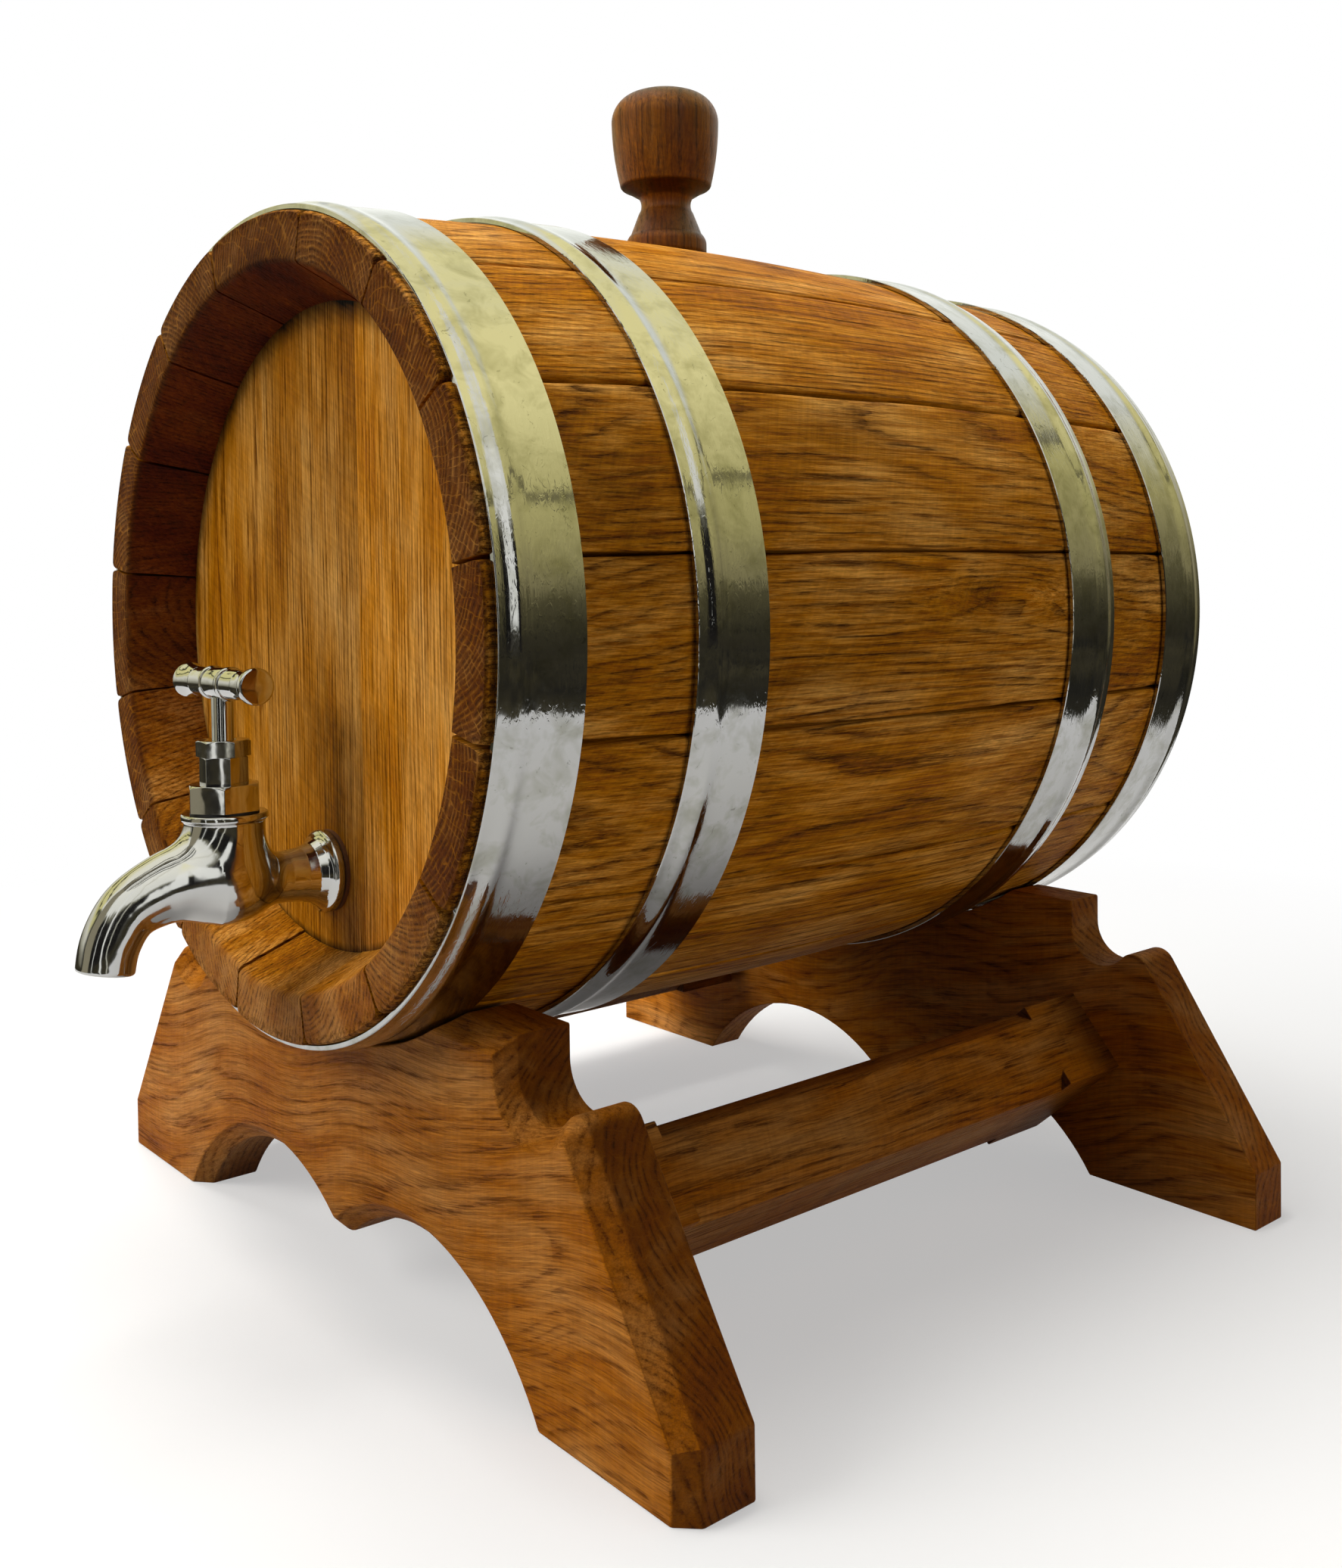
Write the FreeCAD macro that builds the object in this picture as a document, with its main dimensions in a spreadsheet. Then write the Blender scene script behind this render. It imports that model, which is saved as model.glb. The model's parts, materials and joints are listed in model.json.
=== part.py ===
import FreeCAD, Part
import math
import os
import Sketcher
from FreeCAD import Placement, Rotation, Vector

# A five litre oak cask lying on a two-board cradle, with a screw-down tap in its front head and a
# turned bung in its top stave.  +Z is up, the tap points to -Y, the floor is z = 0, and x = y = 0 is
# the middle of the ground that the whole dispenser covers.

SIZES = {
    # cask shell
    "cask_length": 260.0,
    "bilge_radius": 108.6,
    "bilge_rise": 5.6,
    "axis_height": 172.0,
    "stave_count": 16,
    "bung_stave_angle": 29.0,
    "seam_chamfer": 0.7,
    "stave_thickness": 16.1,
    "inner_rise": 7.5,
    "chime_width": 12.0,
    "chime_depth": 18.0,
    "croze_step": 1.6,
    "croze_land": 4.0,
    "croze_width": 7.0,
    "croze_depth": 4.4,
    # hoops
    "hoop_thickness": 1.2,
    "hoop_gap": 0.05,
    "chime_hoop_edge": 128.2,
    "chime_hoop_width": 21.1,
    "quarter_hoop_edge": 78.1,
    "quarter_hoop_width": 20.7,
    "bead_place": 6.4,
    "bead_width": 3.0,
    "bead_height": 0.8,
    "hoop_lap_length": 24.0,
    "hoop_lap_angle": 172.0,
    "rivet_radius": 1.6,
    "rivet_head_radius": 3.2,
    "rivet_head_height": 1.3,
    "rivet_spacing": 10.0,
    "rivet_gap": 0.05,
    "lap_inset": 0.4,
    "lap_bite": 0.1,
    "fit_clearance": 0.05,
    # heads
    "head_thickness": 15.0,
    "left_joint_x": 35.0,
    "right_joint_x": 18.0,
    "dowel_radius": 2.5,
    "dowel_length": 24.0,
    "dowel_height": 40.0,
    "dowel_slack": 0.5,
    # tap
    "tail_rise": 20.4,
    "tap_standoff": 28.5,
    "gasket_thickness": 1.0,
    "flange_radius": 10.5,
    "flange_thickness": 4.6,
    "flange_rim": 0.8,
    "neck_radius": 6.5,
    "flare_length": 8.0,
    "flare_lip": 0.9,
    "shank_radius": 6.4,
    "shank_tip_radius": 5.6,
    "shank_length": 24.0,
    "barrel_radius": 9.7,
    "barrel_bottom": 8.0,
    "barrel_round": 6.5,
    "collar_radius": 10.5,
    "collar_height": 1.8,
    "collar_top": 18.2,
    "inlet_radius": 2.8,
    "seat_height": 3.6,
    "seat_radius": 2.4,
    "chamber_radius": 6.6,
    "outlet_radius": 3.0,
    "shoulder_reach": 9.0,
    "shoulder_rise": 2.4,
    "shoulder_radius": 9.5,
    "shoulder_slope": 9.0,
    "waist_reach": 17.0,
    "waist_rise": 0.8,
    "waist_radius": 8.3,
    "waist_slope": 20.0,
    "bend_reach": 24.4,
    "bend_drop": 3.0,
    "bend_radius": 7.3,
    "bend_slope": 43.0,
    "fall_reach": 28.9,
    "fall_drop": 10.0,
    "fall_radius": 6.95,
    "fall_slope": 68.0,
    "mouth_reach": 37.1,
    "mouth_drop": 16.6,
    "mouth_radius": 6.8,
    "mouth_slope": 80.0,
    "spout_wall": 1.7,
    # bonnet, gland and valve
    "bonnet_gasket_thickness": 0.5,
    "hex_bevel": 32.0,
    "bonnet_flats": 16.6,
    "bonnet_turn": 36.4,
    "bonnet_hex_height": 6.6,
    "neck_flats": 11.0,
    "neck_turn": 51.4,
    "neck_height": 6.8,
    "thread_length": 6.5,
    "gland_flats": 12.0,
    "gland_turn": 0.0,
    "gland_height": 4.0,
    "packing_radius": 4.4,
    "packing_depth": 4.0,
    "gland_skirt": 1.5,
    "stem_radius": 2.7,
    "screw_radius": 4.0,
    "screw_length": 9.5,
    "washer_radius": 4.3,
    "washer_thickness": 1.8,
    "jumper_radius": 4.8,
    "jumper_thickness": 1.4,
    "jumper_pin_radius": 1.5,
    "jumper_pin_length": 6.0,
    "pin_slack": 1.0,
    "tail_rivet": 0.4,
    "nut_radius": 1.9,
    "nut_thickness": 1.2,
    # cross handle
    "handle_height": 50.0,
    "handle_half": 20.0,
    "hub_radius": 3.95,
    "hub_half": 3.6,
    "ring_radius": 4.25,
    "ring_width": 1.6,
    "ring_groove": 0.5,
    "handle_radius": 3.7,
    "cap_radius": 4.5,
    "cap_length": 7.6,
    "cap_step": 0.5,
    "cap_edge": 1.4,
    "cap_flare": 22.0,
    "tenon_radius": 2.0,
    "stem_tenon_radius": 2.1,
    "stem_entry": 0.6,
    # bung
    "bung_setback": 4.3,
    "bung_height": 50.8,
    "crown_rise": 2.3,
    "crown_edge": 11.3,
    "shoulder_round": 8.7,
    "knob_radius": 16.2,
    "knob_crown": 40.0,
    "knob_foot": 13.9,
    "knob_bottom": 20.9,
    "bung_neck_radius": 7.6,
    "bung_neck_top": 18.4,
    "bung_neck_round": 4.3,
    "bung_flare_top": 13.4,
    "bung_base_radius": 12.2,
    "bung_base_height": 4.2,
    "bung_round": 1.4,
    "plug_radius": 9.7,
    "plug_taper": 1.0,
    "plug_length": 21.0,
    "bung_clearance": 0.3,
    "seat_gap": 0.1,
    # cradle
    "board_thickness": 18.5,
    "board_outer_face": 113.2,
    "saddle_half": 58.3,
    "saddle_gap": 0.3,
    "foot_half": 141.0,
    "foot_edge": 15.9,
    "cove_x": 90.7,
    "cove_drop": 8.0,
    "cove_radius": 10.0,
    "horn_drop": 18.0,
    "horn_radius": 5.3,
    "lobe_x": 38.0,
    "lobe_sink": 33.0,
    "lobe_radius": 58.8,
    "cusp_round": 6.0,
    "board_chamfer": 4.6,
    "stretcher_width": 40.0,
    "stretcher_depth": 25.0,
    "stretcher_chamfer": 4.5,
    "chamfer_stop": 24.0,
    "right_stretcher_inset": 66.8,
    "right_stretcher_height": 32.4,
    "right_stretcher_tilt": 41.0,
    "left_stretcher_inset": 46.0,
    "left_stretcher_height": 40.5,
    "peg_radius": 4.0,
    "peg_length": 24.0,
    "peg_slack": 0.5,
    "peg_spacing": 20.0,
}

doc = FreeCAD.newDocument("oak_cask_dispenser")
dims = doc.addObject("Spreadsheet::Sheet", "dims")
for row, (alias, value) in enumerate(SIZES.items(), start=1):
    dims.set(f"A{row}", alias)
    dims.set(f"B{row}", str(value))
    dims.setAlias(f"B{row}", alias)
doc.recompute()

NODES = []


# ---------------------------------------------------------------- sizes written as expressions

def number(text):
    """The value of an expression written in the sheet's aliases."""
    value = dims.evalExpression(text)
    return float(getattr(value, "Value", value))


def bulge_radius(half_chord, rise):
    """Radius of the arc that rises by that much over a chord."""
    return f"((({half_chord})^2 + ({rise})^2) / (2 * ({rise})))"


HALF = "(dims.cask_length / 2)"
END_RADIUS = "(dims.bilge_radius - dims.bilge_rise)"
INNER_BILGE = "(dims.bilge_radius - dims.stave_thickness)"
INNER_END = f"({INNER_BILGE} - dims.inner_rise)"
LAND_RADIUS = f"({INNER_END} - dims.croze_step)"
STAVE_ARC = bulge_radius(HALF, "dims.bilge_rise")
HEAD_FACE = f"({HALF} - dims.chime_depth)"
CROZE_OUT = f"({HEAD_FACE} - dims.croze_land)"
CROZE_IN = f"({CROZE_OUT} - dims.croze_width)"
CROZE_RADIUS = f"({LAND_RADIUS} + dims.croze_depth)"
CASK_Y = f"((dims.tap_standoff + dims.mouth_reach + {HEAD_FACE} - {HALF}) / 2)"
VALVE_Y = f"({CASK_Y} - {HEAD_FACE} - dims.tap_standoff)"
BUNG_Y = f"({CASK_Y} + dims.bung_setback)"
TAIL_Z = f"(dims.axis_height - {LAND_RADIUS} + dims.tail_rise)"
BOARD_Y = "(dims.board_outer_face - dims.board_thickness / 2)"
STRETCHER_LENGTH = "(2 * (dims.board_outer_face - dims.board_thickness))"


def shell_radius(place):
    """Outer radius of the cask at a distance from its middle."""
    return f"(dims.bilge_radius - {STAVE_ARC} + sqrt({STAVE_ARC}^2 - ({place})^2))"


SADDLE_RADIUS = (
    "(" + shell_radius("dims.chime_hoop_edge - dims.chime_hoop_width")
    + " + dims.hoop_gap + dims.hoop_thickness + dims.saddle_gap)"
)
BOARD_TOP = f"(dims.axis_height - sqrt({SADDLE_RADIUS}^2 - dims.saddle_half^2))"


# ---------------------------------------------------------------- document helpers

def origin_plane(body, role):
    return next(item for item in body.Origin.OriginFeatures if item.Role == role)


def new_body(label):
    body = doc.addObject("PartDesign::Body", label)
    body.Label = label
    return body


def new_sketch(body, name, role, offset=None):
    sketch = body.newObject("Sketcher::SketchObject", name)
    sketch.AttachmentSupport = [(origin_plane(body, role), "")]
    sketch.MapMode = "FlatFace"
    if offset:
        sketch.setExpression("AttachmentOffset.Base.z", offset)
    return sketch


def bind(sketch, kind, where, text):
    """Add one dimension to a sketch and tie it to the sheet."""
    index = sketch.addConstraint(Sketcher.Constraint(kind, *where, number(text)))
    sketch.setExpression(f"Constraints[{index}]", text)


def arc_between(start, end, radius, turn):
    """The short arc between two points; turn is 1 anticlockwise and -1 clockwise."""
    chord = end - start
    middle = (start + end) * 0.5
    height = math.sqrt(max(radius ** 2 - (chord.Length / 2) ** 2, 0.0))
    side = Vector(-chord.y, chord.x, 0).normalize()
    centre = middle + side * (height * turn)
    first, last = (start, end) if turn > 0 else (end, start)
    angles = [math.atan2(point.y - centre.y, point.x - centre.x) for point in (first, last)]
    circle = Part.Circle(centre, Vector(0, 0, 1), radius)
    return Part.ArcOfCircle(circle, angles[0], angles[1])


def draw_outline(sketch, corners, arcs=None):
    """A closed outline: corners are pairs of expressions, arcs give a side its radius and turn."""
    arcs = arcs or {}
    points = [Vector(number(x), number(y), 0) for x, y in corners]
    count = len(points)
    first = len(sketch.Geometry)
    ends = []
    for side in range(count):
        start, end = points[side], points[(side + 1) % count]
        geo = first + side
        if side in arcs:
            radius, turn = arcs[side]
            sketch.addGeometry(arc_between(start, end, number(radius), turn), False)
            ends.append(((geo, 1), (geo, 2)) if turn > 0 else ((geo, 2), (geo, 1)))
        else:
            sketch.addGeometry(Part.LineSegment(start, end), False)
            ends.append(((geo, 1), (geo, 2)))
    for side in range(count):
        leaving, arriving = ends[side][0], ends[side - 1][1]
        sketch.addConstraint(Sketcher.Constraint("Coincident", *arriving, *leaving))
        bind(sketch, "DistanceX", (-1, 1, *leaving), corners[side][0])
        bind(sketch, "DistanceY", (-1, 1, *leaving), corners[side][1])
    for side, (radius, _) in arcs.items():
        bind(sketch, "Radius", (first + side,), radius)


def revolve(body, sketch, axis, angle="360"):
    feature = body.newObject("PartDesign::Revolution", sketch.Name + "_turned")
    feature.Profile = sketch
    feature.ReferenceAxis = (sketch, [axis])
    feature.Midplane = True
    feature.setExpression("Angle", angle)
    sketch.Visibility = False
    return feature


def pad(body, sketch, length):
    feature = body.newObject("PartDesign::Pad", sketch.Name + "_pad")
    feature.Profile = sketch
    feature.Midplane = True
    feature.setExpression("Length", length)
    return feature


def pocket(body, sketch, length):
    """A cut that runs to both sides of its sketch."""
    feature = body.newObject("PartDesign::Pocket", sketch.Name + "_pocket")
    feature.Profile = sketch
    feature.Midplane = True
    feature.setExpression("Length", length)
    return feature


def primitive(kind, label, **sizes):
    item = doc.addObject(kind, label)
    for name, text in sizes.items():
        item.setExpression(name, text)
    return item


def place(item, x="0", y="0", z="0", rotation=None):
    """Put an object at a place given as expressions, turned by a fixed rotation."""
    if rotation:
        item.Placement = Placement(Vector(), rotation)
    for axis, text in zip("xyz", (x, y, z)):
        item.setExpression(f"Placement.Base.{axis}", text)
    return item


def joined(label, items):
    if len(items) == 1:
        return items[0]
    fuse = doc.addObject("Part::MultiFuse", label)
    fuse.Shapes = items
    return fuse


def cut(label, base, tools):
    result = doc.addObject("Part::Cut", label)
    result.Label = label
    result.Base = base
    result.Tool = joined(label + "_tools", tools)
    return result


def group(label, items):
    """Separate like solids kept as one sub-part."""
    result = doc.addObject("Part::Compound", label)
    result.Label = label
    result.Links = items
    return result


def node(item, label):
    """Name a finished sub-part."""
    item.Label = label
    NODES.append(item)
    return item


ALONG_X = Rotation(Vector(0, 1, 0), 90)
ALONG_Y = Rotation(Vector(1, 0, 0), -90)


# ---------------------------------------------------------------- cask shell

def stave_profile(sketch):
    """Section of a stave along the cask: bowed outside, bowed inside, croze and chime at each end."""
    right = [
        (HALF, END_RADIUS),
        (HALF, f"{END_RADIUS} - dims.chime_width"),
        (HEAD_FACE, LAND_RADIUS),
        (CROZE_OUT, LAND_RADIUS),
        (CROZE_OUT, CROZE_RADIUS),
        (CROZE_IN, CROZE_RADIUS),
        (CROZE_IN, INNER_END),
    ]
    left = [(f"-({x})", y) for x, y in reversed(right)]
    inside = bulge_radius(CROZE_IN, "dims.inner_rise")
    count = len(right)
    draw_outline(sketch, right + left, {count - 1: (inside, 1), 2 * count - 1: (STAVE_ARC, -1)})


def stave(label, angle_text, turn):
    body = new_body(label + "_plank")
    sketch = new_sketch(body, label + "_section", "YZ_Plane")
    stave_profile(sketch)
    turned = revolve(body, sketch, "H_Axis", angle_text)
    doc.recompute()
    longest = 0.95 * number("dims.cask_length")
    seams = [f"Edge{i}" for i, edge in enumerate(turned.Shape.Edges, start=1) if edge.Length > longest]
    chamfer = body.newObject("PartDesign::Chamfer", label + "_seams")
    chamfer.Base = (turned, seams)
    chamfer.setExpression("Size", "dims.seam_chamfer")
    place(body, y=CASK_Y, z="dims.axis_height", rotation=Rotation(Vector(0, 1, 0), turn))
    return body


def staves():
    count = int(number("dims.stave_count"))
    wide = number("dims.bung_stave_angle")
    step = (360.0 - wide) / (count - 1)
    angle_text = "(360 - dims.bung_stave_angle) / (dims.stave_count - 1)"
    plank = stave("stave_01", "dims.bung_stave_angle", 0.0)
    hole = primitive(
        "Part::Cone", "bung_hole",
        Radius1="dims.plug_radius - dims.plug_taper * 2 + dims.bung_clearance",
        Radius2="dims.plug_radius + dims.plug_taper + dims.bung_clearance",
        Height="3 * dims.plug_length",
    )
    place(hole, y=BUNG_Y, z="dims.axis_height + dims.bilge_radius - 2 * dims.plug_length")
    node(cut("stave_01", plank, [hole]), "stave_01")
    for index in range(1, count):
        label = f"stave_{index + 1:02d}"
        body = stave(label, angle_text, wide / 2 + (index - 0.5) * step)
        node(body, label)


# ---------------------------------------------------------------- hoops

def hoop(label, edge, width, sign):
    """A riveted steel band with a rolled bead, lapped over itself by the rivets."""
    skin = "(dims.hoop_gap + dims.hoop_thickness)"
    inner_edge = f"({edge} - {width})"
    bead_out = f"({edge} - dims.bead_place + dims.bead_width / 2)"
    bead_in = f"({edge} - dims.bead_place - dims.bead_width / 2)"
    corners = [
        (edge, f"{shell_radius(edge)} + dims.hoop_gap"),
        (edge, f"{shell_radius(edge)} + {skin}"),
        (bead_out, f"{shell_radius(bead_out)} + {skin}"),
        (bead_in, f"{shell_radius(bead_in)} + {skin}"),
        (inner_edge, f"{shell_radius(inner_edge)} + {skin}"),
        (inner_edge, f"{shell_radius(inner_edge)} + dims.hoop_gap"),
    ]
    bead = bulge_radius("dims.bead_width / 2", "dims.bead_height")
    body = new_body(label + "_band")
    band = new_sketch(body, label + "_section", "YZ_Plane")
    draw_outline(band, [(f"{sign} * ({x})", y) for x, y in corners], {2: (bead, sign)})
    revolve(body, band, "H_Axis")

    lap_edge = f"({bead_in} - dims.lap_inset)"
    lap_corners = [
        (lap_edge, f"{shell_radius(lap_edge)} + {skin} - dims.lap_bite"),
        (lap_edge, f"{shell_radius(lap_edge)} + {skin} + dims.hoop_thickness"),
        (inner_edge, f"{shell_radius(inner_edge)} + {skin} + dims.hoop_thickness"),
        (inner_edge, f"{shell_radius(inner_edge)} + {skin} - dims.lap_bite"),
    ]
    lap = new_sketch(body, label + "_lap_section", "YZ_Plane")
    draw_outline(lap, [(f"{sign} * ({x})", y) for x, y in lap_corners])
    revolve(body, lap, "H_Axis", f"dims.hoop_lap_length / {END_RADIUS} * 180 / pi")
    turn = 90.0 - number("dims.hoop_lap_angle")
    place(body, y=CASK_Y, z="dims.axis_height", rotation=Rotation(Vector(0, 1, 0), turn))

    holes, rivets = hoop_rivets(label, f"(({lap_edge} + {inner_edge}) / 2)", sign, turn)
    node(cut(label, body, holes), label)
    return rivets


def hoop_rivets(label, middle, sign, turn):
    """Two cone-headed rivets through the lap, square to the bowed band, and their holes."""
    foot = number(f"{shell_radius(middle)} + dims.hoop_gap")
    grip = 2 * number("dims.hoop_thickness")
    spread = math.degrees(number("dims.rivet_spacing") / 2 / (foot + grip))
    slope = math.degrees(math.asin(number(f"{middle} / {STAVE_ARC}")))
    centre = Vector(0, number(CASK_Y), number("dims.axis_height"))
    holes = []
    rivets = []
    for index, step in enumerate((-spread, spread)):
        name = f"{label}_rivet_{index + 1}"
        around = Rotation(Vector(0, 1, 0), turn + step)
        rotation = around.multiply(Rotation(Vector(1, 0, 0), -sign * slope))
        spot = centre + around.multVec(Vector(0, sign * number(middle), foot))
        hole = primitive("Part::Cylinder", name + "_hole", Height="4 * dims.hoop_thickness",
                         Radius="dims.rivet_radius + dims.fit_clearance")
        hole.Placement = Placement(spot - rotation.multVec(Vector(0, 0, grip / 2)), rotation)
        holes.append(hole)
        shank = primitive("Part::Cylinder", name + "_shank", Radius="dims.rivet_radius",
                          Height="2 * dims.hoop_thickness + 2 * dims.rivet_gap")
        shank.Placement = Placement(spot, rotation)
        head = primitive("Part::Cone", name + "_head", Radius1="dims.rivet_head_radius",
                         Radius2="0.45 * dims.rivet_head_radius", Height="dims.rivet_head_height")
        seat = Vector(0, 0, grip + number("dims.rivet_gap"))
        head.Placement = Placement(spot + rotation.multVec(seat), rotation)
        rivets.append(joined(name, [shank, head]))
    return holes, rivets


def hoops():
    rivets = []
    for end, sign in (("front", -1), ("rear", 1)):
        rivets += hoop(f"{end}_chime_hoop", "dims.chime_hoop_edge", "dims.chime_hoop_width", sign)
        rivets += hoop(f"{end}_quarter_hoop", "dims.quarter_hoop_edge", "dims.quarter_hoop_width", sign)
    node(group("hoop_rivets", rivets), "hoop_rivets")


# ---------------------------------------------------------------- heads

def head_board(label, low, high, sign):
    """One board of a head: a slice of a disc whose tongued rim sits in the croze."""
    face, back = HEAD_FACE, f"({HEAD_FACE} - dims.head_thickness)"
    rim = f"({LAND_RADIUS} - dims.fit_clearance)"
    tongue = f"({CROZE_RADIUS} - dims.fit_clearance)"
    groove_out = f"({CROZE_OUT} - dims.fit_clearance)"
    groove_in = f"({CROZE_IN} + dims.fit_clearance)"
    corners = [
        (face, "0"), (face, rim), (groove_out, rim), (groove_out, tongue),
        (groove_in, tongue), (groove_in, rim), (back, rim), (back, "0"),
    ]
    body = new_body(label + "_blank")
    section = new_sketch(body, label + "_section", "YZ_Plane")
    draw_outline(section, [(f"{sign} * ({x})", y) for x, y in corners])
    revolve(body, section, "H_Axis")
    waste = new_sketch(body, label + "_waste", "XZ_Plane")
    reach = "dims.bilge_radius"
    if high:
        draw_outline(waste, [(high, f"-{reach}"), (reach, f"-{reach}"), (reach, reach), (high, reach)])
    if low:
        draw_outline(waste, [(f"-{reach}", f"-{reach}"), (low, f"-{reach}"), (low, reach),
                             (f"-{reach}", reach)])
    pocket(body, waste, "2 * dims.cask_length")
    return place(body, y=CASK_Y, z="dims.axis_height")


def head(end, sign):
    """Three boards edge to edge, dowelled together; returns the dowels."""
    left, right = "-dims.left_joint_x", "dims.right_joint_x"
    boards = {"left": (None, left), "middle": (left, right), "right": (right, None)}
    middle_y = f"({CASK_Y} + {sign} * ({HEAD_FACE} - dims.head_thickness / 2))"
    holes = {name: [] for name in boards}
    dowels = []
    for joint, sides in ((left, ("left", "middle")), (right, ("middle", "right"))):
        for row, height in enumerate(("-dims.dowel_height", "dims.dowel_height")):
            name = f"{end}_{sides[0]}_{sides[1]}_dowel_{row + 1}"
            peg = primitive("Part::Cylinder", name, Radius="dims.dowel_radius",
                            Height="dims.dowel_length")
            place(peg, x=f"{joint} - dims.dowel_length / 2", y=middle_y,
                  z=f"dims.axis_height + {height}", rotation=ALONG_X)
            dowels.append(peg)
            for side in sides:
                hole = primitive("Part::Cylinder", f"{name}_hole_{side}",
                                 Radius="dims.dowel_radius + dims.fit_clearance",
                                 Height="dims.dowel_length + 2 * dims.dowel_slack")
                place(hole, x=f"{joint} - dims.dowel_length / 2 - dims.dowel_slack", y=middle_y,
                      z=f"dims.axis_height + {height}", rotation=ALONG_X)
                holes[side].append(hole)
    if sign < 0:
        bore = primitive("Part::Cone", "tail_hole",
                         Radius1="dims.shank_radius + dims.fit_clearance",
                         Radius2="dims.shank_tip_radius + dims.fit_clearance",
                         Height="dims.shank_length")
        place(bore, y=f"{CASK_Y} - {HEAD_FACE} - dims.gasket_thickness", z=TAIL_Z, rotation=ALONG_Y)
        holes["middle"].append(bore)
    for side, (low, high) in boards.items():
        label = f"{end}_head_{side}"
        blank = head_board(label, low, high, sign)
        node(cut(label, blank, holes[side]), label)
    return dowels


def heads():
    dowels = head("front", -1) + head("rear", 1)
    node(group("head_dowels", dowels), "head_dowels")


# ---------------------------------------------------------------- tap

def spout_stations():
    """Reach, rise, radius and slope of the spout's round sections, from the barrel to the mouth."""
    root = (0.0, number("dims.shoulder_rise"), number("dims.shoulder_radius"), 0.0)
    stations = [root]
    for name, height in (("shoulder", "rise"), ("waist", "rise"), ("bend", "drop"), ("fall", "drop"),
                         ("mouth", "drop")):
        rise = number(f"dims.{name}_{height}") * (1 if height == "rise" else -1)
        reach, radius, slope = (number(f"dims.{name}_{item}") for item in ("reach", "radius", "slope"))
        if name == "mouth":
            reach -= radius * math.sin(math.radians(slope))
        stations.append((reach, rise, radius, slope))
    return stations


def spout_solid(stations, thinner, longer):
    """A loft through round sections along a falling curve; thinner is the wall for the waterway."""
    points = [Vector(0, -reach, rise) for reach, rise, _, _ in stations]
    slopes = [math.radians(slope) for _, _, _, slope in stations]
    headings = [Vector(0, -math.cos(slope), -math.sin(slope)) for slope in slopes]
    steps = [(b - a).Length for a, b in zip(points, points[1:])]
    lengths = [sum(steps[:i]) for i in range(len(points))]
    path = Part.BSplineCurve()
    path.interpolate(Points=points, Tangents=headings, TangentFlags=[True] * len(points),
                     Parameters=lengths)
    radii = Part.BSplineCurve()
    radii.interpolate(Points=[Vector(at, station[2], 0) for at, station in zip(lengths, stations)],
                      Parameters=lengths)
    rings = []
    count = 3 * len(stations)
    for index in range(count + 1):
        at = lengths[-1] * index / count
        heading = path.tangent(at)[0]
        centre = path.value(at)
        if index == count:
            centre = centre + heading * longer
        circle = Part.makeCircle(radii.value(at).y - thinner, centre, heading)
        rings.append(Part.Wire([circle]))
    return Part.makeLoft(rings, True)


def tail_solid(flange_back):
    """Neck, bell-mouthed flange and screwed shank, turned about the tail's axis."""
    back = Vector(0, 1, 0)
    flange = number("dims.flange_radius")
    neck = number("dims.neck_radius")
    rim = number("dims.flange_rim")
    front = flange_back - number("dims.flange_thickness")
    flare_start = front - number("dims.flare_length")
    lip = number("dims.flare_lip")
    bell = Part.BSplineCurve()
    bell.interpolate(
        Points=[Vector(0, flare_start, neck), Vector(0, front - lip, neck + 2 * lip),
                Vector(0, front + lip, flange)],
        Tangents=[back, Vector(0, 1, 1).normalize(), Vector(0, 1, 0.6).normalize()],
        TangentFlags=[True, True, True],
    )
    corners = [
        Vector(0, front + lip, flange), Vector(0, flange_back - rim, flange),
        Vector(0, flange_back, flange - rim), Vector(0, flange_back, 0), Vector(0, 0, 0),
        Vector(0, 0, neck), Vector(0, flare_start, neck),
    ]
    lines = [Part.makeLine(start, end) for start, end in zip(corners, corners[1:])]
    tail = Part.Face(Part.Wire([bell.toShape()] + lines)).revolve(Vector(0, 0, 0), back, 360)
    shank = Part.makeCone(number("dims.shank_radius"), number("dims.shank_tip_radius"),
                          number("dims.shank_length"), Vector(0, flange_back, 0), back)
    return [tail, shank]


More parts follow.
